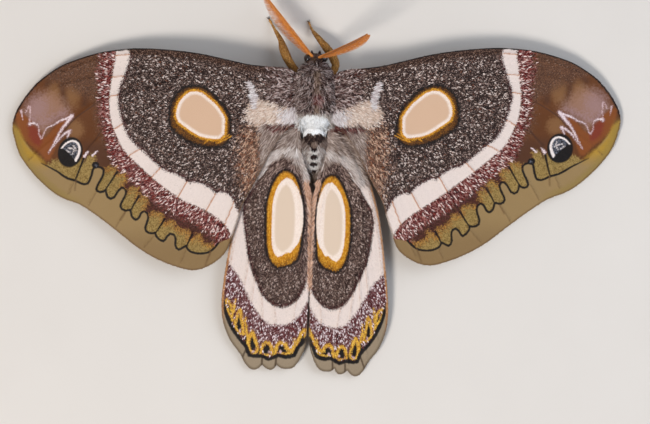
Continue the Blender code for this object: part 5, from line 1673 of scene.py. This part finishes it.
def make_claws(name, material):
    """A foot's two curved claws."""
    path, _ = leg_stations(name)
    toe = path[-1]
    forward = unit((path[-1] - path[-6]) * (1, 1, 0))
    pieces = []
    for turn in (-CLAW_SPREAD, CLAW_SPREAD):
        angle = math.radians(turn)
        way = np.array((forward[0] * math.cos(angle) - forward[1] * math.sin(angle),
                        forward[0] * math.sin(angle) + forward[1] * math.cos(angle), 0.0))
        s = np.linspace(0, 1, 7)[:, None]
        stations = toe - forward * 0.15 + way * CLAW_LENGTH * s
        stations[:, 2] = CLAW_HEIGHT + CLAW_ARCH * np.sin(math.pi * s[:, 0]) - CLAW_ARCH * s[:, 0]
        pieces.append(tube(stations, np.linspace(*CLAW_RADII, 7), 6))
    verts, faces = merged(pieces)
    return make_mesh(f"{name}_claws", verts, faces, None, None, material, smooth=True)


def make_floor():
    """The pale floor."""
    corners = np.array(((-1, -1, 0), (1, -1, 0), (1, 1, 0), (-1, 1, 0))) * FLOOR_SIDE - HOME * (1, 1, 0)
    material, tree, shader, place = new_material("pale_floor")
    cloud = node(tree, "ShaderNodeTexNoise", {"Vector": place, "Scale": 0.05, "Detail": 4.0})
    ramp = node(tree, "ShaderNodeValToRGB", {"Fac": cloud.outputs[0]})
    for element, tone in zip(ramp.color_ramp.elements, FLOOR_TONES):
        element.color = tone
    tree.links.new(ramp.outputs[0], shader.inputs["Base Color"])
    shader.inputs["Roughness"].default_value = 0.85
    floor = make_mesh("floor", corners, np.array(((0, 1, 2), (0, 2, 3))), None, None, material)
    floor.location.z = -HOME[2] * MM


def add_light(name, place, size, power, colour):
    """A soft square light that faces the moth."""
    data = bpy.data.lights.new(name, "AREA")
    data.size = size
    data.energy = power
    data.color = colour
    obj = bpy.data.objects.new(name, data)
    obj.location = place
    obj.rotation_euler = (-Vector(place)).to_track_quat("-Z", "Y").to_euler()
    bpy.context.scene.collection.objects.link(obj)


def make_studio():
    """The camera straight above, as in the photograph, and soft lights."""
    out, forward = seen(CAMERA_AIM)[0]
    data = bpy.data.cameras.new("camera")
    data.sensor_width = SENSOR_WIDTH
    data.lens = data.sensor_width * (CAMERA_HEIGHT - CAMERA_LEVEL) / (PHOTO_WIDTH * PIXEL)
    data.clip_start = 0.01
    camera = bpy.data.objects.new("camera", data)
    camera.location = Vector(((-out + HOME[0]) * MM, (forward + HOME[1]) * MM, CAMERA_HEIGHT * MM))
    bpy.context.scene.collection.objects.link(camera)
    bpy.context.scene.camera = camera
    for light in LIGHTS:
        add_light(*light)
    world = bpy.data.worlds.new("studio")
    world.use_nodes = True
    world.node_tree.nodes["Background"].inputs["Color"].default_value = SKY_COLOUR
    world.node_tree.nodes["Background"].inputs["Strength"].default_value = SKY_STRENGTH
    bpy.context.scene.world = world
    bpy.context.scene.view_settings.view_transform = "Standard"


def main():
    rng = np.random.default_rng(SEED)
    wing_skin = skin_material("wing_skin", 0.12, 0.5, 0.62)
    body_skin = skin_material("body_skin", 0.12, 0.6, 0.75)
    scales = coat_material("wing_scales")
    fur = {name: coat_material(f"{name}_fur") for name in ("thorax", "abdomen", "head", "leg")}
    pieces = []
    for wing, paint in (("forewing", paint_forewing), ("hindwing", paint_hindwing)):
        plan = WingPlan(wing)
        for side in SIDES:
            skin = make_wing_skin(plan, side, paint, rng, wing_skin)
            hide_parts(f"{wing}_{side}")
            pieces.append((skin, f"{wing}_scales"))
            for under in (False, True):
                pieces.append((make_wing_coat(plan, side, under, paint, rng, scales), f"{wing}_scales"))
            pieces.append((make_fringe(plan, side, paint, rng, scales), f"{wing}_scales"))
    skin, verts, faces, uv = make_body_skin(body_skin, rng)
    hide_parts("thorax", "head", "abdomen", *LEGS)
    pieces.append((skin, "body_fur"))
    slots = {"thorax": "body_fur", "abdomen": "abdomen_fur", "head": "head_fur", "leg": "leg_fur"}
    for coat, slot in zip(make_body_coats(verts, faces, uv, fur, rng), slots.values()):
        pieces.append((coat, slot))
    eye = eye_material()
    antenna = horn_material("antenna_horn", (216, 138, 56), (196, 112, 36), 0.45, 2.0)
    claw = horn_material("claw_horn", (58, 36, 24), (26, 16, 12), 0.3, 3.0)
    for side in SIDES:
        dome = make_eye(side, eye)
        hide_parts(f"eye_{side}")
        comb = make_antenna(side, antenna, rng)
        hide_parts(f"antenna_{side}")
        pieces += [(dome, "eye"), (comb, "antenna")]
    for name in LEGS:
        pieces.append((make_claws(name, claw), "leg_fur"))
    for piece, slot in pieces:
        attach(piece, "root")
    make_floor()
    make_studio()


main()
